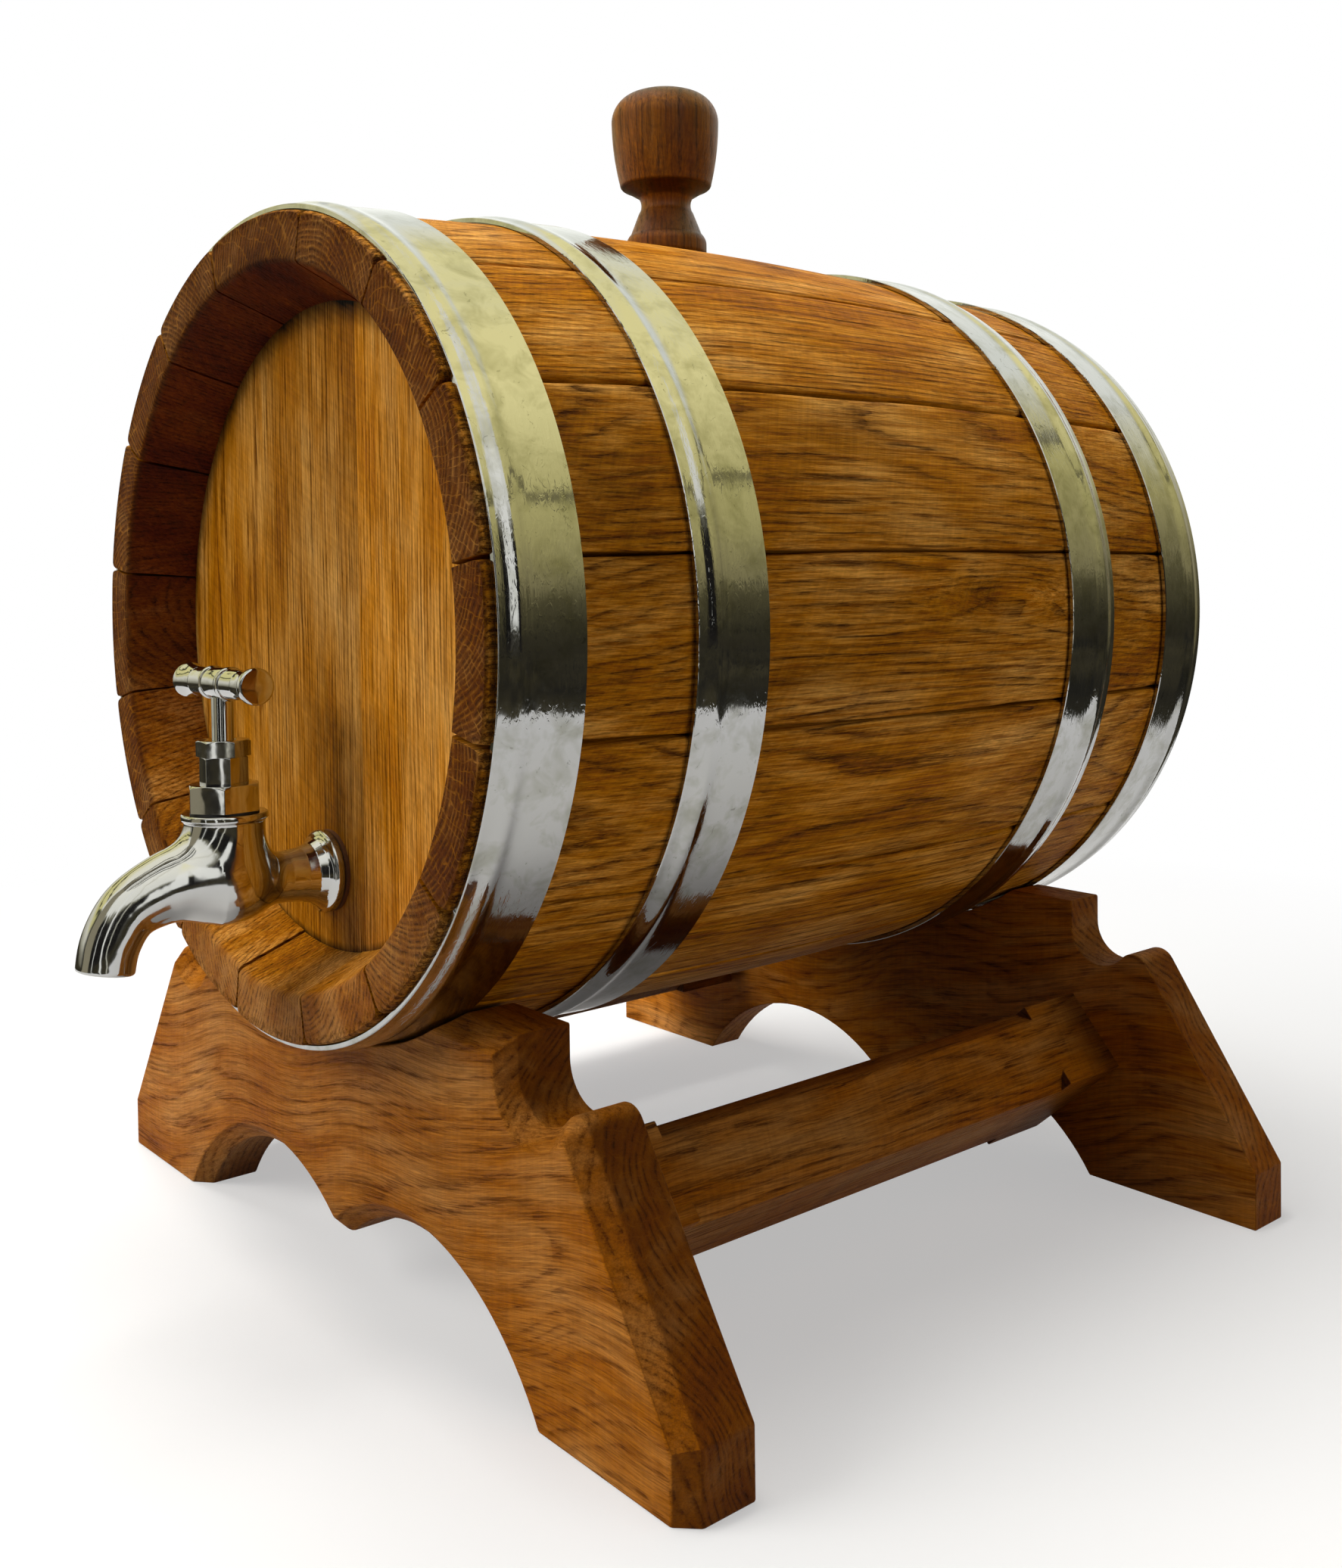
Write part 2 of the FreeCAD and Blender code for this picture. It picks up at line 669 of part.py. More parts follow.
def tap_body():
    """Chromed casting: screwed shank, flange, neck, valve barrel with seat, and drooping spout."""
    up = Vector(0, 0, 1)
    back = Vector(0, 1, 0)
    flange_back = number("dims.tap_standoff") - number("dims.gasket_thickness")
    bottom = -number("dims.barrel_bottom")
    top = number("dims.collar_top")
    barrel = Part.makeCylinder(number("dims.barrel_radius"), top - bottom, Vector(0, 0, bottom), up)
    low_edge = [edge for edge in barrel.Edges if abs(edge.CenterOfMass.z - bottom) < 0.01]
    barrel = barrel.makeFillet(number("dims.barrel_round"), low_edge)
    collar_height = number("dims.collar_height")
    collar = Part.makeCylinder(number("dims.collar_radius"), collar_height,
                               Vector(0, 0, top - collar_height), up)
    rims = [edge for edge in collar.Edges if len(edge.Vertexes) == 1]
    collar = collar.makeFillet(0.35 * collar_height, rims)
    stations = spout_stations()
    solid = barrel.fuse([collar, spout_solid(stations, 0.0, 0.0)] + tail_solid(flange_back))
    solid = solid.removeSplitter()

    seat = number("dims.seat_height")
    seat_radius = number("dims.seat_radius")
    chamber_radius = number("dims.chamber_radius")
    wall = number("dims.spout_wall")
    chamber = Part.makeCylinder(chamber_radius, top - seat, Vector(0, 0, seat), up)
    port = Part.makeCylinder(seat_radius, seat, Vector(0, 0, 0), up)
    inlet = Part.makeCylinder(number("dims.inlet_radius"),
                              flange_back + number("dims.shank_length") + seat_radius + wall,
                              Vector(0, -seat_radius, 0), back)
    waterway = spout_solid(stations[1:], wall, wall)
    outlet_radius = number("dims.outlet_radius")
    outlet = Part.makeCylinder(outlet_radius, stations[2][0], Vector(0, 0, seat + outlet_radius), -back)
    solid = solid.cut([chamber, port, inlet, waterway, outlet])
    casting = doc.addObject("Part::Feature", "tap_body")
    casting.Shape = solid
    place(casting, y=VALVE_Y, z=TAIL_Z)
    node(casting, "tap_body")


def ring_piece(label, outer, inner, height, z):
    """A flat ring about the valve axis."""
    disc = primitive("Part::Cylinder", label + "_disc", Radius=outer, Height=height)
    bore = primitive("Part::Cylinder", label + "_bore", Radius=inner, Height=height)
    for item in (disc, bore):
        place(item, y=VALVE_Y, z=z)
    return node(cut(label, disc, [bore]), label)


def hex_block(label, flats, height, z, turn):
    """A hexagon, turned by the named angle, with the corners of its top face turned off."""
    prism = primitive("Part::Prism", label + "_prism", Circumradius=f"{flats} / 2 / cos(30)",
                      Height=height)
    prism.Polygon = 6
    place(prism, y=VALVE_Y, z=z, rotation=Rotation(Vector(0, 0, 1), number(turn)))
    bevel = primitive("Part::Cone", label + "_bevel", Height=height,
                      Radius1=f"{flats} / 2 + {height} / tan(dims.hex_bevel)", Radius2=f"{flats} / 2")
    place(bevel, y=VALVE_Y, z=z)
    block = doc.addObject("Part::MultiCommon", label)
    block.Shapes = [prism, bevel]
    return block


def rod(label, radius, height, z, kind="Part::Cylinder"):
    item = primitive(kind, label, Radius=radius, Height=height)
    return place(item, y=VALVE_Y, z=z)


BONNET_Z = f"({TAIL_Z} + dims.collar_top + dims.bonnet_gasket_thickness)"
NECK_TOP = f"({BONNET_Z} + dims.bonnet_hex_height + dims.neck_height)"
SEAT_Z = f"({TAIL_Z} + dims.seat_height)"
WASHER_Z = f"({SEAT_Z} + dims.fit_clearance)"
JUMPER_Z = f"({WASHER_Z} + dims.washer_thickness)"
SCREW_Z = f"({JUMPER_Z} + dims.jumper_thickness + dims.fit_clearance)"
HANDLE_Z = f"({TAIL_Z} + dims.handle_height)"


def headgear():
    """Bonnet, gland nut, packing and the washers that seal the valve."""
    place_gasket = f"{CASK_Y} - {HEAD_FACE} - dims.gasket_thickness"
    disc = primitive("Part::Cylinder", "tail_gasket_disc", Radius="dims.flange_radius",
                     Height="dims.gasket_thickness")
    hole = primitive("Part::Cylinder", "tail_gasket_hole", Height="dims.gasket_thickness",
                     Radius="dims.shank_radius + dims.fit_clearance")
    for item in (disc, hole):
        place(item, y=place_gasket, z=TAIL_Z, rotation=ALONG_Y)
    node(cut("tail_gasket", disc, [hole]), "tail_gasket")

    ring_piece("bonnet_gasket", "dims.bonnet_flats / 2", "dims.chamber_radius",
               "dims.bonnet_gasket_thickness", f"{TAIL_Z} + dims.collar_top")

    thread_z = f"({BONNET_Z} - dims.thread_length)"
    shell = joined("bonnet_shell", [
        hex_block("bonnet_hex", "dims.bonnet_flats", "dims.bonnet_hex_height", BONNET_Z,
                  "dims.bonnet_turn"),
        hex_block("bonnet_neck", "dims.neck_flats", "(dims.bonnet_hex_height + dims.neck_height)",
                  BONNET_Z, "dims.neck_turn"),
        rod("bonnet_thread", "dims.chamber_radius - dims.fit_clearance", "dims.thread_length", thread_z),
    ])
    screw_bore = "(dims.screw_radius + dims.fit_clearance)"
    bores = [
        rod("bonnet_screw_bore", screw_bore, "dims.thread_length + dims.bonnet_hex_height", thread_z),
        rod("bonnet_stem_bore", "dims.stem_radius + dims.fit_clearance", "3 * dims.neck_height",
            BONNET_Z),
        rod("bonnet_packing_bore", "dims.packing_radius", "2 * dims.packing_depth",
            f"{NECK_TOP} - dims.packing_depth"),
    ]
    node(cut("bonnet", shell, bores), "bonnet")

    skirt_z = f"({NECK_TOP} - dims.gland_skirt)"
    nut = joined("gland_nut_solid", [
        hex_block("gland_hex", "dims.gland_flats", "dims.gland_height", NECK_TOP, "dims.gland_turn"),
        rod("gland_skirt_solid", "dims.packing_radius - dims.fit_clearance",
            "dims.gland_skirt + dims.gland_height / 2", skirt_z),
    ])
    bore = rod("gland_bore", "dims.stem_radius + dims.fit_clearance",
               "dims.gland_skirt + dims.gland_height", skirt_z)
    node(cut("gland_nut", nut, [bore]), "gland_nut")
    ring_piece("gland_packing", "dims.packing_radius - dims.fit_clearance",
               "dims.stem_radius + dims.fit_clearance",
               "dims.packing_depth - dims.gland_skirt - dims.fit_clearance",
               f"{NECK_TOP} - dims.packing_depth")


def jumper():
    """Loose valve plate with its rubber washer: it lifts but doesn't turn."""
    ring_piece("seat_washer", "dims.washer_radius", "dims.jumper_pin_radius",
               "dims.washer_thickness", WASHER_Z)
    plate = joined("jumper_valve", [
        rod("jumper_plate", "dims.jumper_radius", "dims.jumper_thickness", JUMPER_Z),
        rod("jumper_pin", "dims.jumper_pin_radius - dims.fit_clearance",
            "dims.jumper_pin_length + dims.jumper_thickness", JUMPER_Z),
        rod("jumper_tail", "dims.jumper_pin_radius - dims.fit_clearance",
            "dims.washer_thickness + dims.nut_thickness + dims.tail_rivet",
            f"{WASHER_Z} - dims.nut_thickness - dims.tail_rivet"),
    ])
    node(plate, "jumper_valve")
    ring_piece("jumper_nut", "dims.nut_radius", "dims.jumper_pin_radius", "dims.nut_thickness",
               f"{WASHER_Z} - dims.nut_thickness")


def spindle():
    """Stem with its coarse screw below and a tenon for the cross handle above."""
    stem_top = f"({HANDLE_Z} - dims.hub_radius + dims.stem_entry)"
    tenon_top = f"({HANDLE_Z} + dims.stem_tenon_radius)"
    screw_top = f"({SCREW_Z} + dims.screw_length)"
    solid = joined("spindle_solid", [
        rod("spindle_screw", "dims.screw_radius", "dims.screw_length", SCREW_Z),
        rod("spindle_stem", "dims.stem_radius", f"{stem_top} - {SCREW_Z}", SCREW_Z),
        rod("spindle_tenon", "dims.stem_tenon_radius", f"{tenon_top} - {screw_top}", screw_top),
    ])
    socket = rod("spindle_socket", "dims.jumper_pin_radius + dims.fit_clearance",
                 "dims.jumper_pin_length + dims.pin_slack", SCREW_Z)
    node(cut("spindle", solid, [socket]), "spindle")


def cross_handle():
    """Turned bar with a bead each side of its hub, and a flared cap screwed on each end."""
    neck_end = "(dims.handle_half - dims.cap_length)"
    tip = "(dims.handle_half - dims.cap_step - dims.tenon_radius / 2)"
    body = new_body("handle_bar_turned")
    section = new_sketch(body, "handle_bar_section", "XZ_Plane")
    bead_in = "(dims.hub_half + dims.ring_groove)"
    bead_out = f"({bead_in} + dims.ring_width)"
    right = [
        ("dims.hub_half", "dims.hub_radius"),
        ("dims.hub_half", "dims.handle_radius"),
        (bead_in, "dims.handle_radius"),
        (bead_in, "dims.hub_radius"),
        (bead_out, "dims.hub_radius"),
        (bead_out, "dims.handle_radius"),
        (neck_end, "dims.handle_radius"),
        (neck_end, "dims.tenon_radius"),
        (tip, "dims.tenon_radius"),
        (tip, "0"),
    ]
    left = [(f"-({x})", y) for x, y in reversed(right)]
    bead = bulge_radius("dims.ring_width / 2", "dims.ring_radius - dims.hub_radius")
    draw_outline(section, right + left, {3: (bead, -1), 15: (bead, -1)})
    revolve(body, section, "H_Axis")
    place(body, y=VALVE_Y, z=HANDLE_Z)
    tenon_hole = rod("handle_stem_hole", "dims.stem_tenon_radius + dims.fit_clearance",
                     "dims.hub_radius + dims.stem_tenon_radius + dims.fit_clearance",
                     f"{HANDLE_Z} - dims.hub_radius")
    seat = rod("handle_stem_seat", "dims.stem_radius + dims.fit_clearance",
               "dims.stem_entry + dims.fit_clearance", f"{HANDLE_Z} - dims.hub_radius")
    node(cut("handle_bar", body, [tenon_hole, seat]), "handle_bar")

    socket = "(dims.tenon_radius + dims.fit_clearance)"
    cap_start = f"({neck_end} + dims.fit_clearance)"
    flare_end = "(dims.handle_half - dims.cap_edge)"
    corners = [
        (cap_start, socket),
        (cap_start, "dims.handle_radius"),
        (f"{cap_start} + dims.cap_step", "dims.handle_radius"),
        (flare_end, "dims.cap_radius"),
        ("dims.handle_half - dims.cap_step / 2", "dims.cap_radius"),
        ("dims.handle_half", "dims.cap_radius - dims.cap_step"),
        ("dims.handle_half", "0"),
        (f"{tip} + dims.fit_clearance", "0"),
        (f"{tip} + dims.fit_clearance", socket),
    ]
    for label, sign in (("handle_cap_right", 1), ("handle_cap_left", -1)):
        body = new_body(label + "_turned")
        section = new_sketch(body, label + "_section", "XZ_Plane")
        draw_outline(section, [(f"{sign} * ({x})", y) for x, y in corners],
                     {2: ("dims.cap_flare", sign)})
        revolve(body, section, "H_Axis")
        place(body, y=VALVE_Y, z=HANDLE_Z)
        node(body, label)


# ---------------------------------------------------------------- bung

def bung():
    """Turned oak bung: crowned knob, waisted neck, flared foot and tapered plug."""
    body = new_body("bung")
    section = new_sketch(body, "bung_section", "XZ_Plane")
    neck = "dims.bung_neck_radius"
    base = "dims.bung_base_radius"
    step = "dims.bung_round"
    tip = "dims.plug_radius - dims.plug_taper"
    corners = [
        ("0", "dims.bung_height"),
        ("dims.crown_edge", "dims.bung_height - dims.crown_rise"),
        ("dims.knob_radius", "dims.knob_crown"),
        ("dims.knob_foot", f"dims.knob_bottom + {step}"),
        (f"dims.knob_foot - {step}", "dims.knob_bottom"),
        (f"{neck} + {step} / 2", "dims.bung_neck_top"),
        (f"{neck} + {step} / 2", "dims.bung_flare_top"),
        (f"{base} - {step}", "dims.bung_base_height + 2 * dims.bung_round"),
        (base, "dims.bung_base_height"),
        (base, f"{step}"),
        (f"{base} - {step} / 2", "dims.seat_gap"),
        ("dims.plug_radius", "dims.seat_gap"),
        (tip, f"{step} - dims.plug_length"),
        (f"{tip} - {step}", "-dims.plug_length"),
        ("0", "-dims.plug_length"),
    ]
    arcs = {
        0: (bulge_radius("dims.crown_edge", "dims.crown_rise"), -1),
        1: ("dims.shoulder_round", -1),
        2: ("5 * dims.knob_radius", -1),
        3: ("dims.bung_round", -1),
        5: ("dims.bung_neck_round", 1),
        7: ("3 * dims.bung_round", -1),
    }
    draw_outline(section, corners, arcs)
    revolve(body, section, "V_Axis")
    place(body, y=BUNG_Y, z="dims.axis_height + dims.bilge_radius")
    node(body, "bung")


# ---------------------------------------------------------------- cradle

def board_outline(sketch):
    """Saddle on top, a cove and a horn at each shoulder, flared legs and a two-lobed arch."""
    cove_left = "(dims.cove_x - dims.cove_radius)"
    cove_z = f"({BOARD_TOP} - dims.cove_drop)"
    horn_z = f"({BOARD_TOP} - dims.horn_drop)"
    reach = "(dims.cove_radius + dims.horn_radius)"
    drop = "(dims.horn_drop - dims.cove_drop)"
    across = f"sqrt({reach}^2 - {drop}^2)"
    horn_x = f"(dims.cove_x + {across})"
    kiss_x = f"(dims.cove_x + dims.cove_radius / {reach} * {across})"
    kiss_z = f"({cove_z} - dims.cove_radius / {reach} * {drop})"
    run, fall = f"(dims.foot_half - {horn_x})", f"({horn_z} - dims.foot_edge)"
    tangent = f"(acos(dims.horn_radius / sqrt({run}^2 + {fall}^2)) - atan({fall} / {run}))"
    flank_x = f"({horn_x} + dims.horn_radius * cos{tangent})"
    flank_z = f"({horn_z} + dims.horn_radius * sin{tangent})"
    toe_x = "(dims.lobe_x + sqrt(dims.lobe_radius^2 - dims.lobe_sink^2))"
    right = [
        ("dims.saddle_half", BOARD_TOP),
        (cove_left, BOARD_TOP),
        (cove_left, cove_z),
        (kiss_x, kiss_z),
        (flank_x, flank_z),
        ("dims.foot_half", "dims.foot_edge"),
        ("dims.foot_half", "0"),
        (toe_x, "0"),
    ]
    cusp = [("0", "sqrt(dims.lobe_radius^2 - dims.lobe_x^2) - dims.lobe_sink")]
    left = [(f"-({x})", z) for x, z in reversed(right)]
    arcs = {
        2: ("dims.cove_radius", 1), 3: ("dims.horn_radius", -1), 7: ("dims.lobe_radius", 1),
        8: ("dims.lobe_radius", 1), 12: ("dims.horn_radius", -1), 13: ("dims.cove_radius", 1),
        16: (SADDLE_RADIUS, 1),
    }
    draw_outline(sketch, right + cusp + left, arcs)


def board_blank(label):
    body = new_body(label + "_blank")
    sketch = new_sketch(body, label + "_outline", "XZ_Plane")
    board_outline(sketch)
    slab = pad(body, sketch, "dims.board_thickness")
    doc.recompute()
    cusp = [
        f"Edge{i}" for i, edge in enumerate(slab.Shape.Edges, start=1)
        if abs(edge.CenterOfMass.x) < 0.01 and abs(edge.CenterOfMass.y) < 0.01
    ]
    rounded = body.newObject("PartDesign::Fillet", label + "_cusp")
    rounded.Base = (slab, cusp)
    rounded.setExpression("Radius", "dims.cusp_round")
    doc.recompute()
    outward = -number("dims.board_thickness") / 2
    saddle_top = number(BOARD_TOP)
    edges = []
    for i, edge in enumerate(rounded.Shape.Edges, start=1):
        box = edge.BoundBox
        on_face = abs(box.YMin - outward) < 0.01 and abs(box.YMax - outward) < 0.01
        on_floor = box.ZMax < 0.01
        in_saddle = box.XLength > number("dims.cove_x") and box.ZMax > 0.9 * saddle_top
        if on_face and not on_floor and not in_saddle:
            edges.append(f"Edge{i}")
    chamfer = body.newObject("PartDesign::Chamfer", label + "_arris")
    chamfer.Base = (rounded, edges)
    chamfer.setExpression("Size", "dims.board_chamfer")
    return body


def stretcher_blank(label):
    """A bar between the boards, its long edges chamfered and stopped short of the ends."""
    body = new_body(label + "_blank")
    section = new_sketch(body, label + "_section", "XZ_Plane")
    x, z = "dims.stretcher_width / 2", "dims.stretcher_depth / 2"
    draw_outline(section, [(f"-{x}", f"-{z}"), (x, f"-{z}"), (x, z), (f"-{x}", z)])
    pad(body, section, STRETCHER_LENGTH)
    arris = new_sketch(body, label + "_arris", "XZ_Plane")
    leg = "dims.stretcher_chamfer"
    for side, level in ((1, 1), (1, -1), (-1, 1), (-1, -1)):
        corner = (f"{side} * ({x} + {leg})", f"{level} * ({z} + {leg})")
        along = (f"{side} * ({x} - 2 * {leg})", f"{level} * ({z} + {leg})")
        down = (f"{side} * ({x} + {leg})", f"{level} * ({z} - 2 * {leg})")
        draw_outline(arris, [corner, along, down])
    pocket(body, arris, f"{STRETCHER_LENGTH} - 2 * dims.chamfer_stop")
    return body


def stretcher_with_pegs(label, x, z, tilt, board_holes):
    """One stretcher between the boards; returns its pegs and adds their holes to the boards."""
    inner_face = "(dims.board_outer_face - dims.board_thickness)"
    lean = Rotation(Vector(0, 1, 0), -number(tilt))
    pegs = []
    bar_holes = []
    for end, sign in (("front", -1), ("rear", 1)):
        for row, step in enumerate((-1, 1)):
            name = f"{label}_{end}_peg_{row + 1}"
            peg_x = f"({x} + {step} * dims.peg_spacing / 2 * cos({tilt}))"
            peg_z = f"({z} + {step} * dims.peg_spacing / 2 * sin({tilt}))"
            start = f"({CASK_Y} + {sign} * {inner_face} - dims.peg_length / 2)"
            peg = primitive("Part::Cylinder", name, Radius="dims.peg_radius", Height="dims.peg_length")
            pegs.append(place(peg, x=peg_x, y=start, z=peg_z, rotation=ALONG_Y))
            for kind, holes in (("bar", bar_holes), ("board", board_holes[end])):
                hole = primitive("Part::Cylinder", f"{name}_{kind}_hole",
                                 Radius="dims.peg_radius + dims.fit_clearance",
                                 Height="dims.peg_length + 2 * dims.peg_slack")
                place(hole, x=peg_x, y=f"{start} - dims.peg_slack", z=peg_z, rotation=ALONG_Y)
                holes.append(hole)
    bar = stretcher_blank(label)
    place(bar, x=x, y=CASK_Y, z=z, rotation=lean)
    node(cut(label, bar, bar_holes), label)
    return pegs


def cradle():
    """Two boards, two stretchers and the pegs that join them."""
    board_holes = {"front": [], "rear": []}
    pegs = stretcher_with_pegs("right_stretcher", "(dims.foot_half - dims.right_stretcher_inset)",
                               "dims.right_stretcher_height", "dims.right_stretcher_tilt", board_holes)
    pegs += stretcher_with_pegs("left_stretcher", "(dims.left_stretcher_inset - dims.foot_half)",
                                "dims.left_stretcher_height", "0", board_holes)
    for end, sign, turn in (("front", -1, 0), ("rear", 1, 180)):
        label = f"{end}_cradle_board"
        blank = board_blank(label)
        place(blank, y=f"{CASK_Y} + {sign} * {BOARD_Y}", rotation=Rotation(Vector(0, 0, 1), turn))
        node(cut(label, blank, board_holes[end]), label)
    node(group("stretcher_pegs", pegs), "stretcher_pegs")


# ---------------------------------------------------------------- build, check and write

def check_and_write():
    doc.recompute()
    failed = [item.Label for item in doc.Objects if {"Invalid", "Error"} & set(item.State)]
    if failed:
        raise RuntimeError(f"failed objects: {failed}")
    os.makedirs("parts", exist_ok=True)
    for item in NODES:
        shape = item.Shape
        if shape.isNull() or not shape.isValid() or not shape.Solids:
            raise RuntimeError(f"bad shape: {item.Label}")
        shape.exportStep(f"parts/{item.Label}.step")
    whole = Part.makeCompound([item.Shape for item in NODES]).BoundBox
    print(f"{len(NODES)} sub-parts, box {whole.XMin:.2f}..{whole.XMax:.2f} "
          f"{whole.YMin:.2f}..{whole.YMax:.2f} {whole.ZMin:.2f}..{whole.ZMax:.2f}")


staves()
hoops()
heads()
tap_body()
headgear()
jumper()
spindle()
cross_handle()
bung()
cradle()
check_and_write()
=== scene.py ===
# %% [markdown]
# # An oak cask on its cradle, with a tap
# The dispenser is a small coopered cask lying on two boards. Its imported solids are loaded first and
# used as a frame: every piece below is made in their coordinates, in metres, so that it lands where
# the solid is. Pieces could be modelled round the origin and moved into place afterwards, but a piece
# that is made where it stands keeps its object unturned, and then a pattern that reads Object
# coordinates stays put when the piece moves.

# %% Load the frame
import math

import bmesh
import bpy
import numpy as np
from mathutils import Matrix, Vector
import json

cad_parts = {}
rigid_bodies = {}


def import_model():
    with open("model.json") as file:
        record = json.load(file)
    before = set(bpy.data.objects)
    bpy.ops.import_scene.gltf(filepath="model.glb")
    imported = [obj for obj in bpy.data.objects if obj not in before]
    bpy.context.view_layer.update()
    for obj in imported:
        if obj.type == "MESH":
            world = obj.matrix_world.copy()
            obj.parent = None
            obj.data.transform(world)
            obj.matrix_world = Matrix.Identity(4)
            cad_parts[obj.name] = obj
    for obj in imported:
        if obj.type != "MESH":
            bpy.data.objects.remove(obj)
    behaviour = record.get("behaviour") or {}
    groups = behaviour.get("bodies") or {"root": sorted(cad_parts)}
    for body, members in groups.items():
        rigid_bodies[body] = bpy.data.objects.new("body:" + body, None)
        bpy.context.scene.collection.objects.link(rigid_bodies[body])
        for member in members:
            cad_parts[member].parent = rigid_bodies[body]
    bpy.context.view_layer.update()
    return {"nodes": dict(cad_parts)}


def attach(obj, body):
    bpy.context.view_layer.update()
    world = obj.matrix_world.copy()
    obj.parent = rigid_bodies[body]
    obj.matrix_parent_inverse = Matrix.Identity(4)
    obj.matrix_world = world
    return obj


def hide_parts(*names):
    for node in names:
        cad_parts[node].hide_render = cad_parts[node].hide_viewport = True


for leftover in list(bpy.data.objects):
    bpy.data.objects.remove(leftover)
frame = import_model()
MM = 0.001
CASK = Vector((0.0, 23.8, 172.0))  # middle of the cask, mm

# %% [markdown]
# ## Camera
# A camera close to the cask makes its near head look large and its far end small. That comes from
# where the camera stands, so its place and heading are set first and the lens after them. The frame
# is higher than the optical axis, which a vertical shift gives without tilting the camera, so that
# upright lines stay nearly upright.

# %% Camera
CAMERA_PLACE = Vector((361.66, -274.79, 183.78))
CAMERA_YAW, CAMERA_PITCH, CAMERA_ROLL = 0.8739, -0.0292, -0.0132
FRAME_HEIGHT, FOCAL_LENGTH, AXIS_ABOVE_MIDDLE = 2072, 2032.8, 214.5  # pixels
SENSOR = 36.0


def stand(name, data):
    """A new object in the scene."""
    item = bpy.data.objects.new(name, data)
    bpy.context.scene.collection.objects.link(item)
    return item


def camera_matrix(place, yaw, pitch, roll):
    """Right, up and back of a camera that looks along +Y at yaw 0 and is then turned to the left."""
    ahead = Vector((-math.sin(yaw) * math.cos(pitch), math.cos(yaw) * math.cos(pitch), math.sin(pitch)))
    level = Vector((math.cos(yaw), math.sin(yaw), 0.0))
    above = level.cross(ahead)
    right = math.cos(roll) * level + math.sin(roll) * above
    up = math.cos(roll) * above - math.sin(roll) * level
    return Matrix.Translation(place) @ Matrix((right, up, -ahead)).transposed().to_4x4()


camera = stand("camera", bpy.data.cameras.new("camera"))
camera.matrix_world = camera_matrix(CAMERA_PLACE * MM, CAMERA_YAW, CAMERA_PITCH, CAMERA_ROLL)
camera.data.sensor_width = SENSOR
camera.data.lens = SENSOR * FOCAL_LENGTH / FRAME_HEIGHT
camera.data.shift_y = -AXIS_ABOVE_MIDDLE / FRAME_HEIGHT
camera.data.clip_start = 0.01
bpy.context.scene.camera = camera
bpy.context.scene.view_settings.view_transform = "Standard"
print("camera lens, mm:", round(camera.data.lens, 2))

# %% [markdown]
# ## Node helpers
# Materials and Geometry Nodes are both node trees, so one small class serves them: it holds a node's
# output, and a plus or a times between two of them adds the Math node that does it. Writing each node
# and link out by hand would work as well, but the recipe of a finish would be lost between the links.


# %% Node helpers
class Field:
    """One output of a node, which links and sums can be written with."""

    def __init__(self, node, take=0):
        self.node, self.tree = node, node.id_data
        self.socket = node.outputs[take] if node.outputs else None

    def out(self, take):
        return Field(self.node, take)

    def __abs__(self):
        return maths("ABSOLUTE", self)


def put(tree, kind, inputs=None, take=0, **settings):
    """Adds a node and returns one of its outputs. inputs are numbers, colours or fields, by name or
    by place, and settings are the node's own switches."""
    item = tree.nodes.new(kind)
    for key, value in settings.items():
        setattr(item, key, value)
    for key, value in (inputs or {}).items():
        if isinstance(value, Field):
            tree.links.new(value.socket, item.inputs[key])
        else:
            item.inputs[key].default_value = value
    return Field(item, take)


def tree_of(*terms):
    return next(term.tree for term in terms if isinstance(term, Field))


def maths(operation, *terms):
    return put(tree_of(*terms), "ShaderNodeMath", dict(enumerate(terms)), operation=operation)


for sign, word in (("add", "ADD"), ("sub", "SUBTRACT"), ("mul", "MULTIPLY"), ("truediv", "DIVIDE"),
                   ("pow", "POWER")):
    setattr(Field, f"__{sign}__", lambda self, other, word=word: maths(word, self, other))
    setattr(Field, f"__r{sign}__", lambda self, other, word=word: maths(word, other, self))

# %% [markdown]
# ## Light and floor
# A cut-out picture on white needs a white ground that still takes the shadow. The floor is a pale
# disc that fades into the white world at its rim, where only camera, glossy and transmission rays see
# the white; diffuse light comes from soft lamps at a level at which a colour looks as it is written.
# Bright metal is only as good as what it mirrors, so a few cards stand round the cask as they would
# in a studio: only glossy rays see them, and they give the hoops and the tap their dark and warm bands.

# %% World
WHITE = (1.0, 1.0, 1.0, 1.0)


def most(first, *others):
    for other in others:
        first = maths("MAXIMUM", first, other)
    return first


def mix_shaders(share, first, second):
    return put(share.tree, "ShaderNodeMixShader", {0: share, 1: first, 2: second})


def rays_of(tree):
    """Camera rays, glossy rays, and all rays that may see the white ground."""
    rays = put(tree, "ShaderNodeLightPath")
    camera_ray, glossy_ray, through = (rays.out(f"Is {kind} Ray") for kind in
                                       ("Camera", "Glossy", "Transmission"))
    return camera_ray, glossy_ray, most(camera_ray, glossy_ray, through)


world = bpy.data.worlds.new("studio")
bpy.context.scene.world = world
world.use_nodes = True
sky = world.node_tree
sky.nodes.clear()
soft_fill = put(sky, "ShaderNodeBackground", {"Color": (1.0, 0.98, 0.95, 1.0), "Strength": 0.055})
white_ground = put(sky, "ShaderNodeBackground", {"Color": WHITE, "Strength": 1.0})
put(sky, "ShaderNodeOutputWorld", {"Surface": mix_shaders(rays_of(sky)[2], soft_fill, white_ground)})
print("studio world:", len(sky.nodes), "nodes")


# %% Places and colours in a tree
def split(vector):
    parts = put(vector.tree, "ShaderNodeSeparateXYZ", {0: vector})
    return [parts.out(axis) for axis in range(3)]


def solid_place(tree):
    """Object coordinates in metres, as one vector."""
    return put(tree, "ShaderNodeTexCoord", take="Object")


